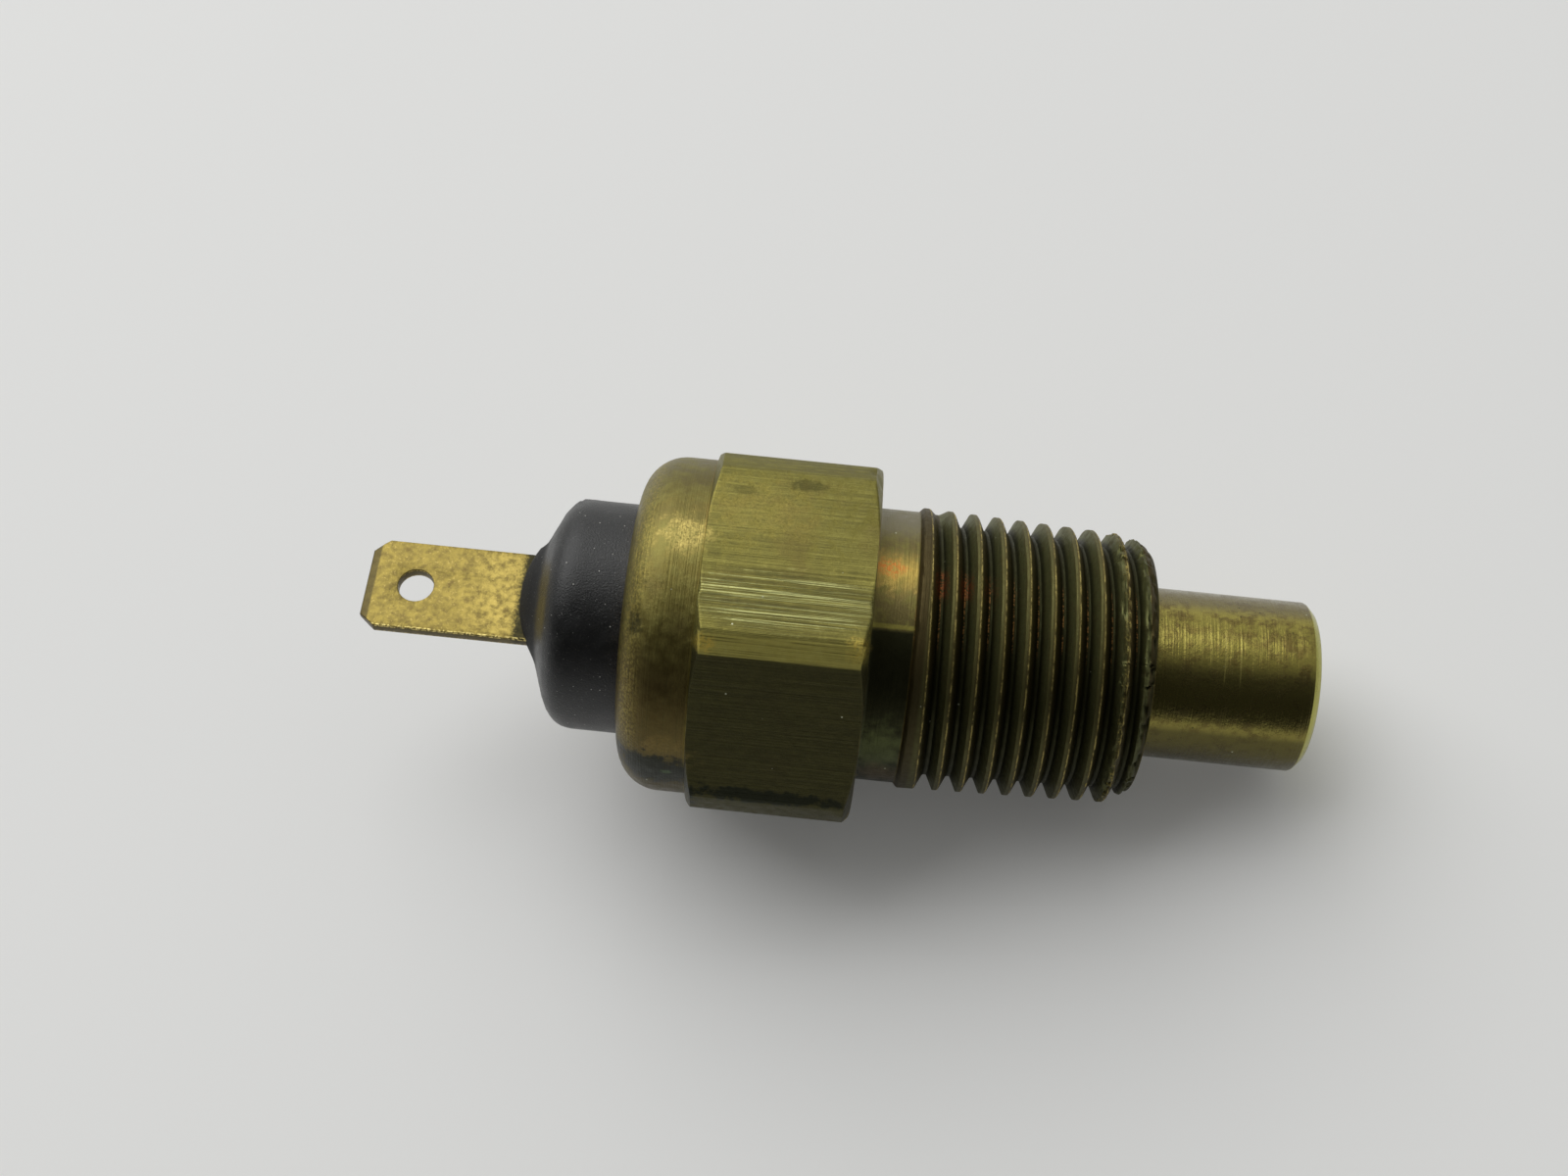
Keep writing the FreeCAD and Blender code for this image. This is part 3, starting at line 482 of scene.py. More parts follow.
# %% [markdown]
# ### Grime that follows the thread
#
# The grooves are dark, and a rubbed line runs along the nose side of each ridge. Both wind round with the
# thread, so the colour needs the same rule as the shape: a station less one pitch for each turn gives the
# phase in the groove, and the radius less the cone's gives the depth.

# %% Thread
FLANK_LIGHT_AND_SHADE = ((0.078, 0.056, 0.024, 1), (0.128, 0.126, 0.060, 1))
FLANK_BROWN = (0.072, 0.056, 0.026, 1)
CREST_OLIVE = (0.130, 0.108, 0.046, 1)
FIRST_RIDGE_BROWN = (0.070, 0.048, 0.024, 1)
RUBBED_CREST = (0.56, 0.43, 0.18, 1)
ROOT_COPPER = (0.62, 0.30, 0.12, 1)


def thread_phase(tree, place):
    """How far a point lies from a groove's middle towards the next one, from 0 to 1."""
    turned_back = calc(tree, "MULTIPLY", place["Angle"], PITCH / 360)
    from_groove = calc(tree, "SUBTRACT", place["Station"], VIEW_DEG * PITCH / 360 + NECK_END + RUNOUT)
    return calc(tree, "FRACT", calc(tree, "DIVIDE", calc(tree, "ADD", from_groove, turned_back), PITCH))


def thread_colour(tree, place, grain, painted_light):
    """Flanks painted lit towards the hexagon and shaded towards the nose, black roots, rubbed crests and
    painted copper glints.
    """
    station, angle, fine = place["Station"], place["Angle"], grain["fine"]
    phase = thread_phase(tree, place)
    narrowed = calc(tree, "MULTIPLY", calc(tree, "SUBTRACT", station, NECK_END), taper)
    sunk = calc(tree, "SUBTRACT", calc(tree, "SUBTRACT", CREST_RADIUS, narrowed), place["Radius"])
    ridge = remap(tree, sunk, 0.22, 0.02)
    uneven = calc(tree, "MULTIPLY", calc(tree, "SUBTRACT", fine, 0.5), 0.10)
    wear = calc(tree, "ADD", phase, uneven)
    rubbed = both(tree, between(tree, wear, 0.555, 0.605, 0.02), ridge)
    root_glint = both(tree, between(tree, wear, 0.93, 0.985, 0.02), between(tree, angle, 4.0, 34.0, 6.0))
    glint = patch(tree, place, 19.6, 29.0, 2.6, 6.0, grain["ragged"], 0.6)
    return coats(
        # Painted light and shade: olive on the flank that faces the hexagon, brown on the flank that faces
        # the nose
        tree, layer(tree, *FLANK_LIGHT_AND_SHADE, remap(tree, phase, 0.47, 0.51, 1.0, 0.0)),
        (FLANK_BROWN, remap(tree, grain["mottle"], 0.44, 0.68), 0.6),
        (GRIME_AND_SHADE, remap(tree, sunk, 0.50, 0.88), 0.85),
        (CREST_OLIVE, ridge, 0.6),
        (FIRST_RIDGE_BROWN, remap(tree, station, 18.5, 18.2), 0.85),
        # Painted shade: darker below
        (GRIME_AND_SHADE, painted_light["below"], 0.45),
        (RUBBED_CREST, rubbed, remap(tree, grain["mottle"], 0.38, 0.58), 0.8),
        # Painted glints: a copper line at the roots on the upper side, and a red patch
        (ROOT_COPPER, root_glint, remap(tree, fine, 0.46, 0.62), 0.8),
        (GLINT_RED, glint, remap(tree, sunk, 0.15, 0.5), remap(tree, fine, 0.4, 0.6), 0.45),
        (GOLD, remap(tree, station, 29.2, 30.4), ridge, remap(tree, fine, 0.54, 0.66), 0.55),
    )


# %% [markdown]
# ### Marks of use
#
# Rubs, stains and the lines that a spanner scraped belong to this one switch. Each is a patch in a list:
# station, angle, half its length, half its angle, colour and strength.

# %% Rubs and stains
RUBS = [
    (3.5, 30.5, 1.3, 6.0, RUBBED_GOLD, 0.6),
    (5.3, -4.4, 0.55, 2.4, BRIGHT_GOLD, 0.95),
    (14.3, -1.6, 0.6, 3.6, BRIGHT_GOLD, 0.6),
    (3.2, -45.0, 1.5, 5.0, GOLDEN_BROWN, 0.45),
    (14.2, -72.0, 0.9, 3.0, BRIGHT_GOLD, 0.6),
    (7.4, 40.0, 3.4, 9.0, GOLD, 0.25),
]
STAINS = [
    (2.6, -58.0, 2.7, 9.0, BLACK_STAIN, 0.97),
    (3.4, -58.5, 0.4, 1.6, VERDIGRIS, 0.5),
    (9.7, -55.8, 4.4, 2.4, BLACK_STAIN, 0.9),
    (1.05, -2.0, 0.45, 3.4, BLACK_STAIN, 0.6),
    (6.6, 46.6, 0.8, 1.5, DARK_OLIVE_AND_SHADE, 0.4),
    (10.4, 50.0, 1.1, 1.6, BLACK_STAIN, 0.45),
]
SCRAPE_PLACE = (9.8, 10.0, 5.4, 9.0)
SCRAPE_DARK = (0.075, 0.066, 0.032, 1)
SCRAPE_PALE = (0.50, 0.48, 0.25, 1)


def add_marks(tree, place, grain, colour, scrape_zone, scraped):
    """Rubs, stains, scraped lines and dust over the finished zones."""
    for *spot, tint, strength in RUBS:
        rub = patch(tree, place, *spot, grain["ragged"], 0.65)
        colour = coats(tree, colour, (tint, rub, remap(tree, grain["fine"], 0.25, 0.70), strength))
    for *spot, tint, strength in STAINS:
        colour = coats(tree, colour, (tint, patch(tree, place, *spot, grain["ragged"]), strength))
    return coats(
        tree, colour,
        (SCRAPE_DARK, scrape_zone, remap(tree, grain["scratched"], 0.47, 0.42), 0.6),
        (SCRAPE_PALE, scraped, 0.85),
        (DUST, specks(tree, place["Point"], 1.3, 0.09, 0.16), 0.8),
    )


# %% [markdown]
# ### The whole body
#
# The zones come together by station. The relief is three bumps, one on the other: the lines of the tools,
# the mottling of the tarnish, and the scraped lines, which catch the light.

# %% Brass of the body
OLD_BRASS = (0.97, 1.01, 0.80)


def make_body_brass():
    """The body's finish, zone after zone from the rim to the nose."""
    material, tree, shader, place = start_finish("tarnished brass", 0.92, 0.4)
    station, angle = place["Station"], place["Angle"]
    grain = brass_grain(tree, place["Point"])
    # Masks of painted light: shade below and on the underside, and a grey reflection on the far side
    painted_light = painted_light_by_angle(tree, angle)
    on_hexagon = between(tree, station, COLLAR_LENGTH + 0.02, HEX_END - 0.02, 0.03)
    on_thread = between(tree, station, NECK_END, BOSS_END + 0.01, 0.1)
    on_nose = remap(tree, station, BOSS_END, BOSS_END + 0.15)
    off_flats = remap(tree, place["Radius"], 12.00, 12.08)
    near_corner = both(tree, off_flats, between(tree, angle, -7.7, -1.1, 0.3))
    scrape_edge = calc(tree, "MULTIPLY", grain["ragged"], 0.3)
    scrape_zone = both(tree, patch(tree, place, *SCRAPE_PLACE, scrape_edge, 0.25), on_hexagon)
    scraped = both(tree, scrape_zone, remap(tree, grain["scratched"], 0.52, 0.57))

    bare = layer(tree, OLIVE, GOLDEN_BROWN, remap(tree, grain["clouds"], 0.42, 0.62))
    colour = coats(
        tree, bare,
        (DARK_OLIVE_AND_SHADE, remap(tree, grain["mottle"], 0.52, 0.75), 0.5),
        (collar_colour(tree, place, grain, painted_light), remap(tree, station, 4.4, 4.7, 1.0, 0.0)),
        (hexagon_colour(tree, place, grain, near_corner), on_hexagon),
        (neck_colour(tree, place, grain, painted_light), between(tree, station, HEX_END, NECK_END, 0.08)),
        (thread_colour(tree, place, grain, painted_light), on_thread),
        (nose_colour(tree, place, grain, painted_light), on_nose),
    )
    colour = add_marks(tree, place, grain, colour, scrape_zone, scraped)
    plug(tree, shader.inputs["Base Color"], stretch(tree, colour, OLD_BRASS))

    rough = remap(tree, grain["mottle"], 0.3, 0.7, 0.33, 0.52, "LINEAR")
    for mask, more in ((on_thread, 0.10), (on_nose, -0.20), (near_corner, 0.25)):
        rough = calc(tree, "ADD", rough, both(tree, mask, more))
    plug(tree, shader.inputs["Roughness"], rough)
    drawn_lines = both(tree, grain["drawn"], on_hexagon)
    turned_lines = both(tree, grain["turned"], calc(tree, "SUBTRACT", 1.0, on_hexagon))
    first = relief(tree, shader, calc(tree, "ADD", drawn_lines, turned_lines), 0.035)
    skin = calc(tree, "ADD", grain["mottle"], both(tree, grain["fine"], 0.4))
    second = relief(tree, shader, skin, 0.03, first)
    relief(tree, shader, scraped, 0.03, second)
    print("body brass:", len(tree.nodes), "nodes")
    return material


# %% [markdown]
# ## The blade's sheet and the moulding
#
# The blade is rolled sheet. Its faces are mottled, its stamped edges are dark, and the burr along them
# shines. Which side of the sheet a point is on follows from its height over the middle of the sheet. The
# moulding is black, with a soft shine, fine grain and dust, and dull where it creeps up the blade.

# %% Brass of the blade
SHEET_TONES = ((0.255, 0.196, 0.048, 1), (0.180, 0.138, 0.040, 1))
SHEET_BROWN = (0.155, 0.105, 0.036, 1)
SHEET_GLINT = (0.42, 0.32, 0.10, 1)
SHEET_PALE = (0.48, 0.37, 0.10, 1)
SHEET_SPOT = (0.10, 0.075, 0.028, 1)
CUT_EDGE_BROWN = (0.075, 0.060, 0.026, 1)
TIP_BURR_GOLD = (0.62, 0.48, 0.15, 1)
EDGE_BURR_GOLD = (0.80, 0.66, 0.24, 1)


def along_direction(tree, point, direction):
    """How far a point lies along a direction."""
    product = add_node(tree, "ShaderNodeVectorMath", {0: point, 1: direction}, operation="DOT_PRODUCT")
    return product.outputs["Value"]


def make_blade_brass():
    """The blade's finish, with marks that follow its edges."""
    material, tree, shader, place = start_finish("mottled brass sheet", 0.92, 0.36)
    point, station = place["Point"], place["Station"]
    mottle = noise(tree, point, 2.1, 6.0, 0.68)
    fine = noise(tree, point, 6.5, 4.0, 0.6)
    rolled = noise(tree, stretch(tree, point, (0.3, 6.0, 6.0)), 1.0, 3.0, 0.6)
    level = along_direction(tree, point, (0.0, math.cos(view_height), math.sin(view_height)))
    across = along_direction(tree, point, (0.0, math.sin(view_height), -math.cos(view_height)))
    off_middle = calc(tree, "ABSOLUTE", level)
    moulding_edge = remap(tree, calc(tree, "ADD", station, fine), -7.3, -6.8)
    tip_burr = both(tree, between(tree, off_middle, 0.25, 0.33, 0.03), remap(tree, fine, 0.46, 0.56))
    near_edge = both(tree, between(tree, across, -2.58, -2.38, 0.05), remap(tree, level, 0.20, 0.30))
    colour = coats(
        tree, layer(tree, *SHEET_TONES, remap(tree, mottle, 0.36, 0.66)),
        (SHEET_BROWN, remap(tree, mottle, 0.55, 0.72), 0.55),
        (SHEET_GLINT, remap(tree, fine, 0.56, 0.68), 0.5),
        (SHEET_PALE, remap(tree, station, -12.0, -8.0), remap(tree, mottle, 0.66, 0.36), 0.45),
        (SHEET_SPOT, specks(tree, point, 1.9, 0.16, 0.3), 0.6),
        (BLACK_STAIN, moulding_edge, 0.9),
        (CUT_EDGE_BROWN, remap(tree, off_middle, 0.34, 0.385, 1.0, 0.0), 0.85),
        (TIP_BURR_GOLD, tip_burr, remap(tree, station, -16.4, -16.2), 0.8),
        (EDGE_BURR_GOLD, near_edge, remap(tree, fine, 0.44, 0.58), 0.8),
    )
    plug(tree, shader.inputs["Base Color"], colour)
    plug(tree, shader.inputs["Roughness"], remap(tree, mottle, 0.3, 0.7, 0.30, 0.48, "LINEAR"))
    first = relief(tree, shader, rolled, 0.012)
    relief(tree, shader, mottle, 0.03, first)
    print("blade brass:", len(tree.nodes), "nodes")
    return material


# %% Black moulding
MOULDING_TONES = ((0.004, 0.0042, 0.0042, 1), (0.009, 0.0095, 0.0095, 1))
MOUTH_DIRT = (0.055, 0.045, 0.033, 1)
PALE_GRAIN = (0.052, 0.048, 0.038, 1)
GREY_FLECK = (0.20, 0.20, 0.19, 1)


def make_black_moulding():
    """Black moulding with dust, dirt at the rim, faint rings on the cone and a dull neck."""
    material, tree, shader, place = start_finish("black moulding", 0.0, 0.5)
    shader.inputs["Specular IOR Level"].default_value = 0.48
    point, station = place["Point"], place["Station"]
    grain = noise(tree, point, 9.0, 3.0, 0.6)
    clouds = noise(tree, point, 0.7, 4.0, 0.6)
    colour = coats(
        tree, layer(tree, *MOULDING_TONES, remap(tree, clouds, 0.42, 0.66)),
        (MOUTH_DIRT, remap(tree, station, -1.2, 0.4), remap(tree, grain, 0.42, 0.6), 0.5),
        (PALE_GRAIN, remap(tree, grain, 0.60, 0.70), 0.5),
        (DUST, specks(tree, point, 1.9, 0.10, 0.40), 0.8),
        (GREY_FLECK, specks(tree, point, 4.2, 0.20, 0.35), 0.45),
    )
    plug(tree, shader.inputs["Base Color"], colour)
    gloss = remap(tree, clouds, 0.3, 0.7, 0.30, 0.44, "LINEAR")
    dull_neck = remap(tree, station, -5.3, -6.1, 0.0, 0.45)
    plug(tree, shader.inputs["Roughness"], calc(tree, "ADD", gloss, dull_neck))
    wave = {"Vector": point, "Scale": 0.55, "Distortion": 0.2, "Detail": 1.0}
    ringed = add_node(tree, "ShaderNodeTexWave", wave).outputs[1]
    first = relief(tree, shader, both(tree, ringed, remap(tree, station, -4.6, -5.0)), 0.014)
    relief(tree, shader, grain, 0.035, first)
    print("black moulding:", len(tree.nodes), "nodes")
    return material


# %% [markdown]
# ## What is inside
#
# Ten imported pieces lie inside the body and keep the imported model's shape. Each gets the finish of its
# own material, because a section view or an export shows them. They differ in colour, in gloss and in
# the direction in which the tool or the rolls left their marks.

# %% Finishes of the inner pieces
TURNED_MARKS = (8.0, 0.2, 0.2)
ROLLED_MARKS = (3.0, 7.0, 0.6)
MOULDED_MARKS = (3.0, 3.0, 3.0)


def make_inner(name, metallic, light, dark, gloss, marks_scale, depth, speck=None):
    """A finish of two tones, with a roughness range and marks along a direction."""
    material, tree, shader, place = start_finish(name, metallic, gloss[0])
    point = place["Point"]
    marks = noise(tree, stretch(tree, point, marks_scale), 1.0, 4.0, 0.6)
    clouds = noise(tree, point, 1.2, 5.0, 0.6)
    colour = layer(tree, light + (1,), dark + (1,), remap(tree, calc(tree, "ADD", marks, clouds), 0.8, 1.25))
    if speck:
        colour = layer(tree, colour, speck + (1,), both(tree, specks(tree, point, 4.0, 0.2, 0.4), 0.6))
    plug(tree, shader.inputs["Base Color"], colour)
    plug(tree, shader.inputs["Roughness"], remap(tree, marks, 0.3, 0.7, *gloss, "LINEAR"))
    relief(tree, shader, marks, depth)
    return material


# Slot: name, metallic, two tones, roughness range, marks, their depth, and the colour of specks
INNER_FINISHES = {
    "clean_brass": (
        "clean turned brass", 1.0, (0.62, 0.44, 0.16), (0.48, 0.33, 0.12), (0.22, 0.36), TURNED_MARKS, 0.02),
    "contact_silver": (
        "contact silver", 1.0, (0.82, 0.81, 0.78), (0.60, 0.58, 0.54), (0.24, 0.42), TURNED_MARKS, 0.015,
        (0.30, 0.27, 0.22)),
    "gasket_rubber": (
        "gasket rubber", 0.0, (0.022, 0.022, 0.023), (0.040, 0.039, 0.038), (0.72, 0.9), MOULDED_MARKS, 0.05,
        (0.09, 0.09, 0.09)),
    "spring_sheet": (
        "spring sheet", 1.0, (0.66, 0.40, 0.20), (0.52, 0.30, 0.15), (0.20, 0.34), ROLLED_MARKS, 0.012),
    "white_ceramic": (
        "ground ceramic", 0.0, (0.80, 0.79, 0.74), (0.70, 0.69, 0.64), (0.35, 0.55), TURNED_MARKS, 0.01,
        (0.52, 0.50, 0.45)),
    "guide_moulding": (
        "brown moulding", 0.0, (0.13, 0.068, 0.036), (0.085, 0.045, 0.026), (0.45, 0.62), MOULDED_MARKS, 0.03,
        (0.24, 0.17, 0.11)),
    "bimetal_sheet": (
        "bimetal sheet", 1.0, (0.50, 0.49, 0.47), (0.38, 0.37, 0.36), (0.25, 0.4), ROLLED_MARKS, 0.012),
}

# %% One finish for each slot
finishes = {
    "tarnished_brass": make_body_brass(),
    "blade_brass": make_blade_brass(),
    "black_moulding": make_black_moulding(),
}
for slot_name, description in INNER_FINISHES.items():
    finishes[slot_name] = make_inner(*description)
replaced = ("switch_body", "terminal_insulator", "terminal_blade")
for subpart in frame["record"]["subparts"]:
    if subpart["node"] in replaced:
        continue
    node_mesh = frame["nodes"][subpart["node"]].data
    node_mesh.materials.clear()
    node_mesh.materials.append(finishes[subpart["material_slot"]])

# %% [markdown]
# ## Rings of points
#
# Nearly everything here was turned on a lathe, so a piece is a stack of rings about the axis. A ring is
# a station and a radius, and either may differ from angle to angle: that is how a round bar gets a
# hexagon, a dent or a burr. All rings share one set of angles, which lie closer together where the
# hexagon's edges run, because an edge is only as crisp as the points beside it.

# %% Shared angles
ACROSS_FLATS = 22.0
CORNER_RADIUS = 12.2
FLATS = 6
SECTOR_DEG = 360 / FLATS

edge_deg = math.degrees(math.acos(ACROSS_FLATS / 2 / CORNER_RADIUS))
on_flat = np.linspace(0, edge_deg - 1.6, 11)
on_edge = edge_deg + np.array([-1.0, -0.5, -0.25, 0, 0.25, 0.5, 1.0])
on_band = np.linspace(edge_deg + 1.7, SECTOR_DEG / 2, 3)
half_sector = np.concatenate([on_flat, on_edge, on_band])
sector = np.concatenate([-half_sector[-2:0:-1], half_sector])
flat_angles = np.concatenate([SECTOR_DEG / 2 + SECTOR_DEG * number + sector for number in range(FLATS)])
angles = np.radians(np.sort(flat_angles % 360))
from_flat = np.radians((np.degrees(angles) % SECTOR_DEG) - SECTOR_DEG / 2)
print("angles round the axis:", len(angles))


def ring_points(ring):
    """The points of one ring: (station, radius) or (station, radius, sideways shift)."""
    station, radius = np.broadcast_to(ring[0], angles.shape), np.broadcast_to(ring[1], angles.shape)
    shift = ring[2] if len(ring) > 2 else 0
    return np.stack([station, radius * np.cos(angles) + shift, radius * np.sin(angles)], axis=1)


# Dents, and burrs whose depth is below 0: station, angle from the view, reach along and round, depth
MARKS = [
    (1.0, -2.0, 0.45, 5.0, 0.13),
    (1.7, 9.0, 0.8, 7.0, 0.05),
    (0.8, 58.0, 0.8, 10.0, 0.06),
    (2.9, -62.0, 1.5, 7.0, 0.08),
    (2.2, 31.0, 1.6, 8.0, 0.04),
    (1.4, -34.0, 0.9, 8.0, 0.05),
    (5.1, -5.6, 0.42, 1.5, -0.13),
    (14.6, -3.4, 0.35, 2.4, -0.07),
    (14.5, -61.5, 0.5, 2.0, -0.10),
    (14.7, 58.5, 0.4, 2.2, 0.22),
    (-3.75, 86.0, 0.22, 3.5, -0.13),
    (-4.15, 80.0, 0.2, 3.0, -0.10),
    (-3.4, 92.0, 0.3, 3.0, -0.08),
    (42.3, -58.0, 0.5, 6.0, -0.05),
    (41.9, 40.0, 0.7, 9.0, 0.04),
]
from_view = (VIEW_DEG - np.degrees(angles) + 180) % 360 - 180


def worn(rings):
    """The same rings with the dents and burrs in them."""
    marked = []
    for station, radius, *shift in rings:
        for at_station, at_angle, reach, reach_round, depth in MARKS:
            away = ((station - at_station) / reach) ** 2 + ((from_view - at_angle) / reach_round) ** 2
            radius = radius - depth * np.exp(-away)
        marked.append((station, radius, *shift))
    return marked


def arc(centre, radius, start_deg, end_deg, steps):
    """Rings along a round of the outline. 0 degrees points to the nose, and 90 away from the axis."""
    turns = np.radians(np.linspace(start_deg, end_deg, steps))
    return [(centre[0] + radius * math.cos(turn), centre[1] + radius * math.sin(turn)) for turn in turns]


def stack(rings, mesh_builder):
    """Adds the faces between rings that follow each other, facing away from the metal."""
    count = len(angles)
    rows = [[mesh_builder.verts.new(point) for point in ring_points(ring)] for ring in rings]
    for low, high in zip(rows, rows[1:]):
        for spot in range(count):
            after = (spot + 1) % count
            mesh_builder.faces.new((low[spot], low[after], high[after], high[spot]))


# %% [markdown]
# ## Finishing a mesh
#
# A finished piece has no double points, smooth shading and its place in its mesh. Its object stays at
# the origin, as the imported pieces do. The last ridge of the thread rests on the floor, and the few points
# of it that would dip below are pressed flat.

# %% From rings to a piece
WELD_MM = 0.002


def finish_piece(name, mesh_builder, node, slot_name, sharp_deg=40):
    """Welds and smooths a mesh drawn in the switch's frame, lays it in the room and lets it ride."""
    bmesh.ops.remove_doubles(mesh_builder, verts=mesh_builder.verts, dist=WELD_MM)
    bmesh.ops.dissolve_degenerate(mesh_builder, edges=mesh_builder.edges, dist=WELD_MM / 4)
    sharp = math.radians(sharp_deg)
    for face in mesh_builder.faces:
        face.smooth = True
    for edge in mesh_builder.edges:
        edge.smooth = not (len(edge.link_faces) == 2 and edge.calc_face_angle(0) > sharp)
    mesh = bpy.data.meshes.new(name)
    mesh_builder.to_mesh(mesh)
    open_edges = sum(1 for edge in mesh_builder.edges if len(edge.link_faces) != 2)
    mesh_builder.free()
    mesh.transform(switch_place)
    spots = np.empty(len(mesh.vertices) * 3)
    mesh.vertices.foreach_get("co", spots)
    spots[2::3] = spots[2::3].clip(0)
    mesh.vertices.foreach_set("co", spots)
    piece = bpy.data.objects.new(name, mesh)
    bpy.context.scene.collection.objects.link(piece)
    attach(piece, "switch")
    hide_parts(node)
    mesh.materials.clear()
    mesh.materials.append(finishes[slot_name])
    print(name, "has", len(mesh.polygons), "faces and", open_edges, "open edges")


# %% [markdown]
# ## The taper thread
#
# The thread is a groove that winds round a cone, so its radius follows a rule: how far a point lies from
# the groove's middle, less the taper, less the lead-in at the end. Geometry Nodes state such a rule
# well. The tree makes a grid whose rows run along the helix, so crest and root are clean lines, and
# bends it round the axis. It reads its angles from the ring that it is given, so that its points meet
# those of the plain neck. A swept ridge would be simpler, but it wouldn't run out cleanly at the ends.

# %% The thread's tree
def thread_tree(inputs):
    """Builds the thread as a grid along the helix, from sizes given by name."""
    tree = bpy.data.node_groups.new("taper thread", "GeometryNodeTree")
    tree.interface.new_socket("Ring", in_out="INPUT", socket_type="NodeSocketGeometry")
    tree.interface.new_socket("Thread", in_out="OUTPUT", socket_type="NodeSocketGeometry")
    for name, value in inputs.items():
        kind = "NodeSocketInt" if isinstance(value, int) else "NodeSocketFloat"
        tree.interface.new_socket(name, in_out="INPUT", socket_type=kind)
    tree.interface.new_socket("Material", in_out="INPUT", socket_type="NodeSocketMaterial")
    size = add_node(tree, "NodeGroupInput").outputs
    add, subtract, multiply, divide = (
        partial(calc, tree, operation) for operation in ("ADD", "SUBTRACT", "MULTIPLY", "DIVIDE"))

    ring_count = add_node(tree, "GeometryNodeAttributeDomainSize", {"Geometry": size["Ring"]}).outputs[0]
    columns = add(ring_count, 1)
    reach = add(subtract(size["End"], size["Start"]), size["Pitch"])
    pitches = divide(reach, size["Pitch"])
    row_count = add(calc(tree, "CEIL", multiply(pitches, size["Rows"])), 1)
    grid = add_node(tree, "GeometryNodeMeshGrid", {"Vertices X": row_count, "Vertices Y": columns})

    index = add_node(tree, "GeometryNodeInputIndex").outputs[0]
    row = calc(tree, "FLOOR", divide(add(index, 0.5), columns))
    column = subtract(index, multiply(row, columns))
    wrapped = calc(tree, "MODULO", add(column, 0.25), ring_count)
    ring_angle = add_node(tree, "GeometryNodeInputNamedAttribute", {"Name": "angle"}, data_type="FLOAT")
    sample = add_node(tree, "GeometryNodeSampleIndex", data_type="FLOAT", domain="POINT")
    plug(tree, sample.inputs["Geometry"], size["Ring"])
    plug(tree, sample.inputs["Value"], ring_angle.outputs["Attribute"])
    plug(tree, sample.inputs["Index"], calc(tree, "FLOOR", wrapped))
    laps = calc(tree, "FLOOR", divide(add(column, 0.25), ring_count))
    angle = add(sample.outputs[0], multiply(laps, math.tau))

    advance = multiply(divide(angle, math.tau), size["Pitch"])
    step = divide(size["Pitch"], size["Rows"])
    first_row = subtract(size["Start"], size["Pitch"])
    row_station = add(first_row, multiply(row, step))
    raw_station = add(row_station, advance)
    station = calc(tree, "MINIMUM", calc(tree, "MAXIMUM", raw_station, size["Start"]), size["End"])

    first_groove = add(size["First Groove"], advance)
    turns = divide(subtract(station, first_groove), size["Pitch"])
    nearest = calc(tree, "ROUND", turns)
    past_groove = multiply(subtract(turns, nearest), size["Pitch"])
    off_groove = calc(tree, "ABSOLUTE", past_groove)
    root_half = multiply(size["Root Width"], 0.5)
    mouth_half = multiply(subtract(size["Pitch"], size["Crest Width"]), 0.5)
    cut = subtract(1, remap(tree, off_groove, root_half, mouth_half, kind="LINEAR"))
    groove_station = add(multiply(nearest, size["Pitch"]), advance)
    started = remap(tree, groove_station, 0.0, multiply(size["Pitch"], 0.2))
    cut_depth = multiply(multiply(cut, size["Depth"]), started)

    from_start = subtract(station, size["Start"])
    cone = subtract(size["Crest Radius"], multiply(from_start, size["Taper"]))
    entry = add(size["Neck Radius"], multiply(from_start, size["Start Slope"]))
    to_end = subtract(size["End"], station)
    lead_slope = divide(size["Lead-in Depth"], size["Lead-in Length"])
    rim_radius = subtract(size["End Crest Radius"], size["Lead-in Depth"])
    lead_in = add(rim_radius, multiply(to_end, lead_slope))
    ridge = subtract(cone, cut_depth)
    envelope = calc(tree, "MINIMUM", entry, lead_in)
    whole = calc(tree, "SMOOTH_MIN", ridge, envelope, 0.05)

    def round_axis(distance):
        """The grid's places, bent round the axis at a distance from it."""
        sides = [multiply(distance, calc(tree, wave, angle)) for wave in ("COSINE", "SINE")]
        return add_node(tree, "ShaderNodeCombineXYZ", {"X": station, "Y": sides[0], "Z": sides[1]}).outputs[0]

    rough = noise(tree, round_axis(whole), size["Torn Grain"], 3.0, 0.6)
    torn = both(tree, remap(tree, station, size["Torn From"], size["Torn Full"]), subtract(1.0, cut))
    bite = both(tree, remap(tree, rough, 0.44, 0.66), torn, size["Torn Depth"])
    radius = subtract(whole, both(tree, bite, remap(tree, to_end, 0.0, 0.15)))

    bent = add_node(tree, "GeometryNodeSetPosition", {
        "Geometry": grid.outputs["Mesh"], "Position": round_axis(radius),
    })
    welded = add_node(tree, "GeometryNodeMergeByDistance", {"Geometry": bent.outputs[0], "Distance": 0.0005})
    real = add_node(tree, "GeometryNodeRealizeInstances", {"Geometry": welded.outputs[0]})
    painted = add_node(tree, "GeometryNodeSetMaterial", {
        "Geometry": real.outputs[0], "Material": size["Material"],
    })
    add_node(tree, "NodeGroupOutput", {"Thread": painted.outputs[0]})
    return tree


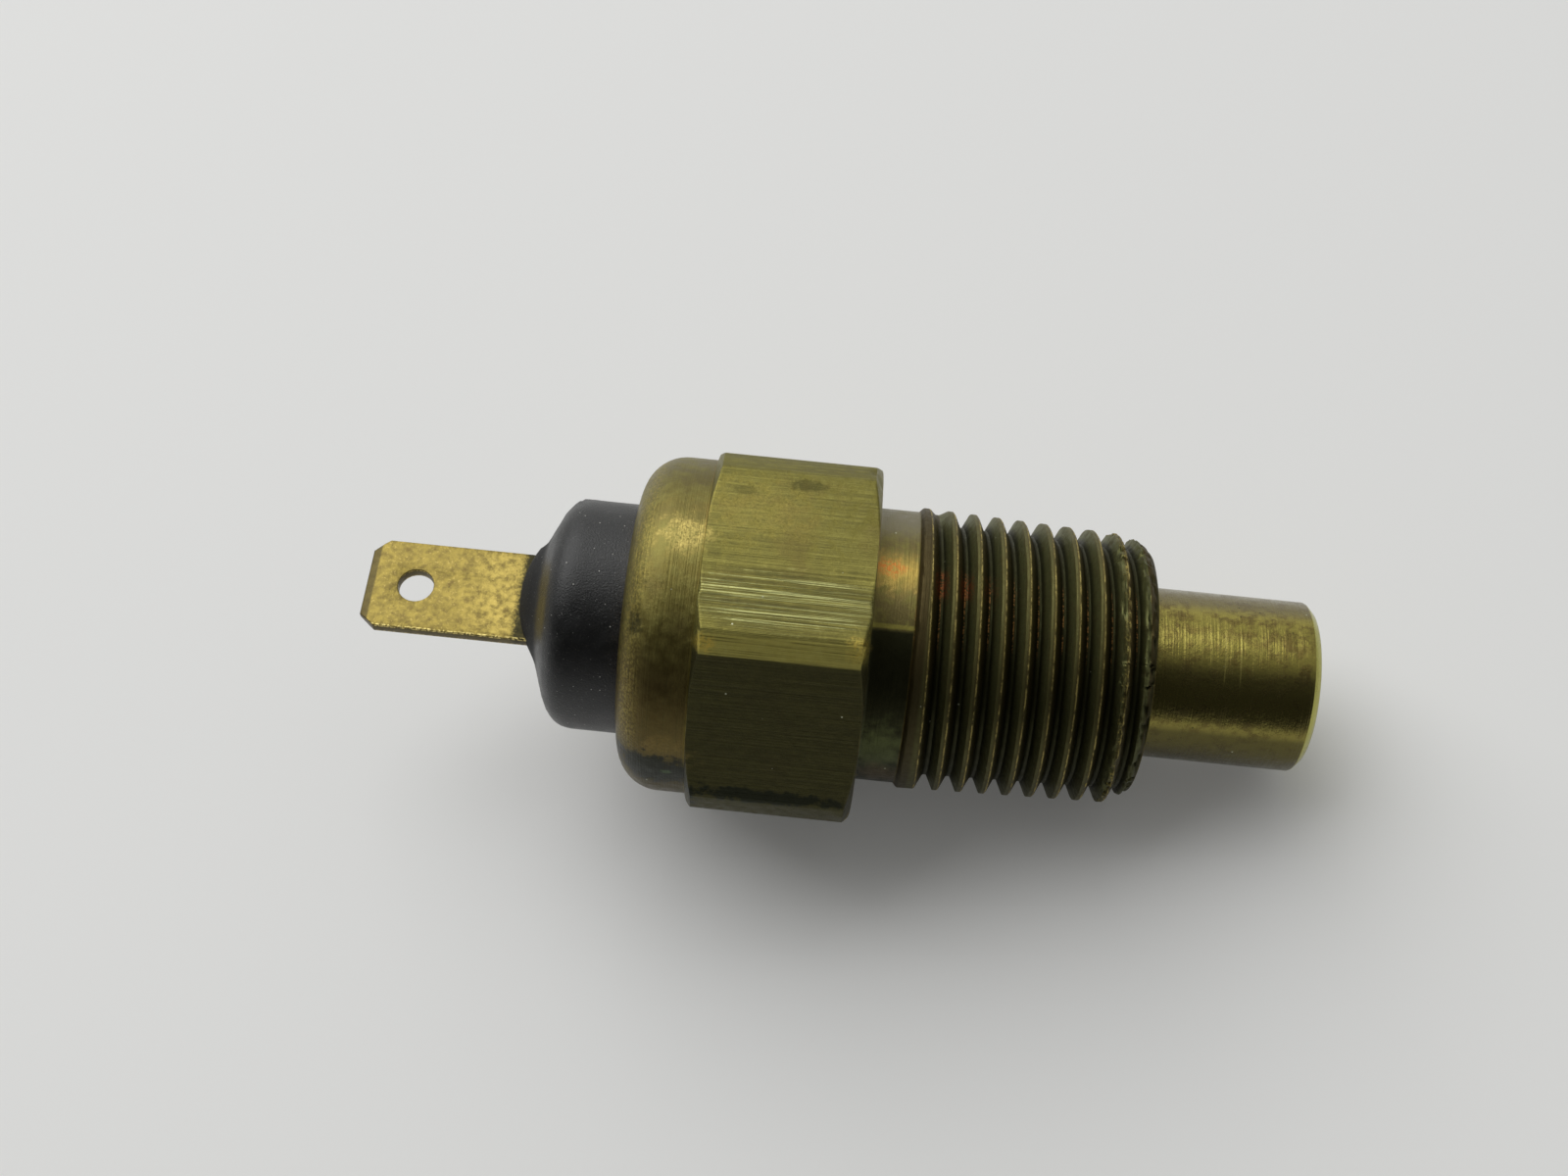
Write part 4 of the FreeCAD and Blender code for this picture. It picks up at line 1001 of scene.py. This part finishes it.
def run_tree(name, start_mesh, tree, values):
    """Runs a node tree on a mesh and gives back the plain mesh that it makes."""
    carrier = bpy.data.objects.new(name, start_mesh)
    bpy.context.scene.collection.objects.link(carrier)
    modifier = carrier.modifiers.new(name, "NODES")
    modifier.node_group = tree
    for item in tree.interface.items_tree:
        if item.in_out == "INPUT" and item.name in values:
            modifier[item.identifier] = values[item.name]
    evaluated = carrier.evaluated_get(bpy.context.evaluated_depsgraph_get())
    made = bpy.data.meshes.new_from_object(evaluated)
    carrier.modifiers.remove(modifier)
    bpy.data.objects.remove(carrier)
    return made


# %% Run the tree
ROWS_PER_PITCH = 16

thread_values = {
    "Start": NECK_END, "End": BOSS_END, "Pitch": PITCH, "Rows": ROWS_PER_PITCH, "Depth": THREAD_DEPTH,
    "Crest Width": CREST_WIDTH, "Root Width": ROOT_WIDTH, "Crest Radius": CREST_RADIUS, "Taper": taper,
    "Neck Radius": NECK_RADIUS, "Start Slope": START_SLOPE, "First Groove": NECK_END + RUNOUT,
    "Lead-in Length": LEAD_IN_LENGTH, "Lead-in Depth": LEAD_IN_DEPTH, "End Crest Radius": end_crest_radius,
    "Torn From": 28.9, "Torn Full": 30.3, "Torn Depth": 0.27, "Torn Grain": 2.4,
    "Material": finishes["tarnished_brass"],
}
ring_mesh = bpy.data.meshes.new("neck end ring")
ring_mesh.from_pydata([tuple(point) for point in ring_points((NECK_END, NECK_RADIUS))], [], [])
ring_mesh.attributes.new("angle", "FLOAT", "POINT").data.foreach_set("value", angles.astype(np.float32))
numbers = {name: value for name, value in thread_values.items() if name != "Material"}
thread_mesh = run_tree("thread", ring_mesh, thread_tree(numbers), thread_values)
thread_points = np.array([vertex.co for vertex in thread_mesh.vertices])
print("thread:", len(thread_mesh.polygons), "faces, up to station", thread_points[:, 0].max().round(3))

# %% [markdown]
# ## The brass body
#
# Rim, collar, hexagon, neck, thread and nose are one turned piece, so they become one closed mesh. It
# starts at the floor of the bore, runs out over the rolled lip and ends at the middle of the nose. The
# hexagon is the smaller of two radii at each point: the turned bar's, and the flat's. A soft minimum
# rounds the edge between them as wear does. The corner that faces the camera is worn downwards, so the
# turned bar's radius grows there with the angle.

# %% Bore and rolled rim
LIP_THICKNESS = 1.5
MOUTH_RADIUS = 7.5
MOUTH_ROUND = 0.22
COLLAR_RADIUS = 10.74
COLLAR_ROUND = 2.7
FLANGE_CHAMBER = (4.5, 9.3)
CONTACT_CHAMBER = (27.5, 6.2)
NOSE_BORE_RADIUS = 4.3
DISC_LEDGE = NOSE_END - 1.8
RECESS_END = NOSE_END - 1.2
RECESS_RADIUS = 3.4

bore_rings = [
    (RECESS_END, 0), (RECESS_END, RECESS_RADIUS), (DISC_LEDGE, RECESS_RADIUS), (DISC_LEDGE, NOSE_BORE_RADIUS),
    (CONTACT_CHAMBER[0], NOSE_BORE_RADIUS), CONTACT_CHAMBER, (FLANGE_CHAMBER[0], CONTACT_CHAMBER[1]),
    FLANGE_CHAMBER, (LIP_THICKNESS, FLANGE_CHAMBER[1]), (LIP_THICKNESS, MOUTH_RADIUS),
]
lip_inner = arc((MOUTH_ROUND, MOUTH_RADIUS + MOUTH_ROUND), MOUTH_ROUND, 270, 180, 5)
lip_outer = arc((COLLAR_ROUND, COLLAR_RADIUS - COLLAR_ROUND), COLLAR_ROUND, 180, 90, 15)
collar_rings = [(station, COLLAR_RADIUS) for station in np.linspace(COLLAR_ROUND, COLLAR_LENGTH, 6)[1:]]

# %% Hexagon
CHAMFER_LENGTH = 0.5
CHAMFER_DEPTH = 1.1
EDGE_WEAR = 0.10
CORNER_LEAN = 0.069
FACE_EDGE = 0.05

flat_radius = ACROSS_FLATS / 2 / np.cos(from_flat)
worn_corner = np.abs(from_view + 2.1) < 12
corner_radius = CORNER_RADIUS + np.where(worn_corner, CORNER_LEAN * np.clip(from_view + 6, 0, 6), 0)
chamfer_radius = corner_radius - CHAMFER_DEPTH


def soft_min(one, other, width):
    """The smaller of two values, rounded where they meet."""
    blend = np.maximum(width - np.abs(one - other), 0) / width
    return np.minimum(one, other) - blend ** 2 * width / 4


def hex_radius(depth):
    """Radius of the hexagon at a depth under its nearer end face."""
    turned = chamfer_radius + np.minimum(depth / CHAMFER_LENGTH, 1) * CHAMFER_DEPTH
    return soft_min(turned, flat_radius, EDGE_WEAR)


crease = CHAMFER_LENGTH * np.clip((flat_radius - chamfer_radius) / CHAMFER_DEPTH, 0.04, 1)
end_depths = [FACE_EDGE + (crease - FACE_EDGE).clip(0.02) * share for share in (0, 0.3, 0.6, 0.8, 0.92, 1.0)]
end_depths += [crease + extra for extra in (0.08, 0.16, 0.3, 0.6)]
end_rings = [(np.zeros_like(angles), hex_radius(0 * angles) - FACE_EDGE)]
end_rings += [(depth, hex_radius(depth)) for depth in end_depths]
middle = [(station, hex_radius(station - COLLAR_LENGTH)) for station in np.linspace(6.2, 13.4, 10)]
left_rings = [(COLLAR_LENGTH + depth, radius) for depth, radius in end_rings]
right_rings = [(HEX_END - depth, radius) for depth, radius in reversed(end_rings)]
hex_rings = left_rings + middle + right_rings

# %% Neck
NECK_FILLET = 0.25

neck_fillet = arc((HEX_END + NECK_FILLET, NECK_RADIUS + NECK_FILLET), NECK_FILLET, 180, 270, 5)
neck_rings = neck_fillet + [(station, NECK_RADIUS) for station in np.linspace(HEX_END + 0.6, NECK_END, 6)]

# %% Nose
NOSE_RADIUS = 5.415
NOSE_CHAMFER = 0.48
NOSE_FILLET = 0.2
EDGE_ROUND = 0.04

end_circle = thread_points[thread_points[:, 0] > BOSS_END - WELD_MM / 10]
end_turns = np.arctan2(end_circle[:, 2], end_circle[:, 1])
apart = np.abs(np.angle(np.exp(1j * (end_turns[None, :] - angles[:, None]))))
closest = apart.argmin(axis=1)
end_radii = np.hypot(end_circle[closest, 1], end_circle[closest, 2])
print("boss face meets the thread at radius", end_radii.min().round(3), "to", end_radii.max().round(3))

face_start = NOSE_RADIUS + NOSE_FILLET
face_rings = [(BOSS_END, end_radii), (BOSS_END, (end_radii + face_start) / 2)]
nose_fillet = arc((BOSS_END + NOSE_FILLET, face_start), NOSE_FILLET, 180, 270, 5)
chamfer_start = NOSE_END - NOSE_CHAMFER
chamfer_inner = NOSE_RADIUS - NOSE_CHAMFER
nose_side = [(station, NOSE_RADIUS) for station in np.linspace(BOSS_END + 0.6, chamfer_start - 0.06, 16)]
chamfer_turn = [
    (chamfer_start + EDGE_ROUND, NOSE_RADIUS - EDGE_ROUND),
    (NOSE_END - EDGE_ROUND, chamfer_inner + EDGE_ROUND),
]
end_face = [(NOSE_END, chamfer_inner - EDGE_ROUND), (NOSE_END, 3.4), (NOSE_END, 1.7), (NOSE_END, 0)]

# %% One closed piece
body_builder = bmesh.new()
body_builder.from_mesh(thread_mesh)
stack(bore_rings + lip_inner + worn(lip_outer + collar_rings + hex_rings) + neck_rings, body_builder)
stack(face_rings + worn(nose_fillet + nose_side + chamfer_turn) + end_face, body_builder)
finish_piece("brass_body", body_builder, "switch_body", "tarnished_brass")

# %% [markdown]
# ## The black moulding
#
# The insulator is moulded round the terminal. Outside it is a cylinder with a round shoulder, a cone and
# a small neck that sits a little off the axis, where the blade comes out. Its flange and spigot are
# inside the body.

# %% Insulator
INSULATOR_RADIUS = 7.4
BLADE_OFFSET = 0.65
OFFSET_FADE = (-6.4, -5.1)

creep = [(-7.4, 0), (-7.38, 0.7), (-7.27, 1.4), (-7.08, 2.05), (-6.84, 2.65), (-6.6, 3.1), (-6.4, 3.42)]
cone_rings = [
    (-6.2, 3.66), (-6.02, 3.9), (-5.86, 4.16), (-5.66, 4.6), (-5.41, 5.2), (-5.09, 5.92), (-4.8, 6.5),
]
moulded_skin = []
for station, radius in creep + cone_rings:
    kept = (OFFSET_FADE[1] - station) / (OFFSET_FADE[1] - OFFSET_FADE[0])
    moulded_skin.append((station, radius, BLADE_OFFSET * min(max(kept, 0), 1)))
shoulder = [(-4.58, 6.78), (-4.35, 7.02), (-4.1, 7.18), (-3.85, 7.29), (-3.55, 7.36)]
side_rings = [(station, INSULATOR_RADIUS) for station in np.linspace(-3.2, LIP_THICKNESS, 12)]
inner_rings = [(LIP_THICKNESS, 9.2), (3.3, 9.2), (3.3, 6.1), (8.0, 6.1), (8.0, 0)]
moulding_builder = bmesh.new()
stack(worn(moulded_skin + shoulder + side_rings) + inner_rings, moulding_builder)
finish_piece("insulator_moulding", moulding_builder, "terminal_insulator", "black_moulding")

# %% [markdown]
# ## The blade
#
# The terminal is stamped from sheet: a flat outline with chamfered corners and a round hole, a coined
# tip that is thinner than the rest, and a tang below. A filled curve with a small bevel gives the
# stamped outline its worn edges, and one cut across it lets the tip be pressed thinner.

# %% Blade
BLADE_WIDTH = 6.3
BLADE_THICKNESS = 0.8
BLADE_TIP = -17.45
BLADE_ROOT = -2.5
TIP_CHAMFER = (1.0, 0.8)
COIN_LENGTH = 0.65
COIN_DEPTH = 0.2
HOLE_RADIUS = 1.15
HOLE_DISTANCE = 3.2
TANG_HALF_WIDTH = 1.2
TANG_LENGTH = 3.5
STAMPED_EDGE = 0.07

near_side = BLADE_OFFSET - BLADE_WIDTH / 2
far_side = BLADE_OFFSET + BLADE_WIDTH / 2
tang_end = BLADE_ROOT + TANG_LENGTH
outline = [
    (BLADE_TIP, near_side + TIP_CHAMFER[1]), (BLADE_TIP + TIP_CHAMFER[0], near_side),
    (BLADE_ROOT, near_side), (BLADE_ROOT, -TANG_HALF_WIDTH),
    (tang_end, -TANG_HALF_WIDTH), (tang_end, TANG_HALF_WIDTH),
    (BLADE_ROOT, TANG_HALF_WIDTH), (BLADE_ROOT, far_side),
    (BLADE_TIP + TIP_CHAMFER[0], far_side), (BLADE_TIP, far_side - TIP_CHAMFER[1]),
]
hole_turns = np.linspace(0, math.tau, 49)[:-1]
hole = [
    (BLADE_TIP + HOLE_DISTANCE + HOLE_RADIUS * math.cos(turn), BLADE_OFFSET + HOLE_RADIUS * math.sin(turn))
    for turn in hole_turns
]


def add_outline(curve, points):
    """One closed outline of straight runs."""
    spline = curve.splines.new("POLY")
    spline.points.add(len(points) - 1)
    for point, (station, across) in zip(spline.points, points):
        point.co = (station, across, 0, 1)
    spline.use_cyclic_u = True


stamping = bpy.data.curves.new("blade outline", "CURVE")
stamping.dimensions = "2D"
stamping.fill_mode = "BOTH"
stamping.extrude = BLADE_THICKNESS / 2 - STAMPED_EDGE
stamping.bevel_depth = STAMPED_EDGE
stamping.bevel_resolution = 2
stamping.offset = -STAMPED_EDGE
add_outline(stamping, outline)
add_outline(stamping, hole)
stamping_object = bpy.data.objects.new("blade outline", stamping)
bpy.context.scene.collection.objects.link(stamping_object)
evaluated_stamping = stamping_object.evaluated_get(bpy.context.evaluated_depsgraph_get())
stamped = bpy.data.meshes.new_from_object(evaluated_stamping)
bpy.data.objects.remove(stamping_object)

blade_builder = bmesh.new()
blade_builder.from_mesh(stamped)
bmesh.ops.remove_doubles(blade_builder, verts=blade_builder.verts, dist=WELD_MM)
everything = blade_builder.verts[:] + blade_builder.edges[:] + blade_builder.faces[:]
coin_line = (BLADE_TIP + COIN_LENGTH, 0, 0)
bmesh.ops.bisect_plane(blade_builder, geom=everything, plane_co=coin_line, plane_no=(1, 0, 0))
for vertex in blade_builder.verts:
    pressed = max(0, 1 - (vertex.co.x - BLADE_TIP) / COIN_LENGTH)
    vertex.co.z *= 1 - pressed * COIN_DEPTH / (BLADE_THICKNESS / 2)
bmesh.ops.recalc_face_normals(blade_builder, faces=blade_builder.faces)
finish_piece("blade", blade_builder, "terminal_blade", "blade_brass", sharp_deg=25)

# %% [markdown]
# ## Floor and light
#
# The switch lies on a plain pale sheet in soft daylight that comes from above and behind. A large lamp is
# the window, a small one the wall behind, and the world is the dim room. A part of the sheet's white is
# light of its own, for the camera and in reflections only, so that its shadow is as light as the
# photograph's and no extra light falls on the brass.

# %% Floor
FLOOR_REACH = 1.2
SHEET_WHITE = (0.88, 0.88, 0.875, 1)
SEEN_WHITE = (0.76, 0.76, 0.755, 1)
OWN_LIGHT = (0.865, 0.86, 0.835, 1)
OWN_LIGHT_STRENGTH = 0.09

floor_mesh = bpy.data.meshes.new("floor")
corners = [(x * FLOOR_REACH, y * FLOOR_REACH, 0) for x, y in ((-1, -1), (1, -1), (1, 1), (-1, 1))]
floor_mesh.from_pydata(corners, [], [(0, 1, 2, 3)])
floor = bpy.data.objects.new("floor", floor_mesh)
bpy.context.scene.collection.objects.link(floor)
floor_material = bpy.data.materials.new("pale sheet")
floor_material.use_nodes = True
sheet = floor_material.node_tree
floor_shader = sheet.nodes["Principled BSDF"]
rays = add_node(sheet, "ShaderNodeLightPath").outputs
seen = calc(sheet, "MAXIMUM", rays["Is Camera Ray"], rays["Is Glossy Ray"])
plug(sheet, floor_shader.inputs["Roughness"], 0.9)
plug(sheet, floor_shader.inputs["Base Color"], layer(sheet, SHEET_WHITE, SEEN_WHITE, seen))
plug(sheet, floor_shader.inputs["Emission Color"], OWN_LIGHT)
plug(sheet, floor_shader.inputs["Emission Strength"], calc(sheet, "MULTIPLY", seen, OWN_LIGHT_STRENGTH))
floor.data.materials.append(floor_material)
print("floor:", round(2 * FLOOR_REACH, 1), "m wide")

# %% Lights
ROOM_TINT = (0.99, 1.0, 0.97, 1)
ROOM_DIM = 0.06
ROOM_BRIGHT = 0.50


def soft_light(name, size, power, place, target=(0, 0, 0.01)):
    """A square soft light that looks at the switch."""
    lamp = bpy.data.lights.new(name, "AREA")
    lamp.shape = "SQUARE"
    lamp.size = size
    lamp.energy = power
    holder = bpy.data.objects.new(name, lamp)
    holder.location = place
    holder.rotation_euler = (Vector(place) - Vector(target)).to_track_quat("Z", "Y").to_euler()
    bpy.context.scene.collection.objects.link(holder)


soft_light("window", 1.1, 8.0, (-0.40, 0.44, 0.79))
soft_light("far wall", 0.9, 0.9, (0.1, 1.1, 0.25))

# The room: bright towards the window, dim where the photographer stood
world = bpy.data.worlds.new("room")
bpy.context.scene.world = world
world.use_nodes = True
sky = world.node_tree
towards = add_node(sky, "ShaderNodeTexCoord").outputs["Generated"]
sideways = add_node(sky, "ShaderNodeSeparateXYZ", {0: towards}).outputs[1]
background = sky.nodes["Background"]
background.inputs["Color"].default_value = ROOM_TINT
plug(sky, background.inputs["Strength"], remap(sky, sideways, -0.7, 0.55, ROOM_DIM, ROOM_BRIGHT))
bpy.context.scene.view_settings.view_transform = "Standard"
print("lamps:", len(bpy.data.lights))
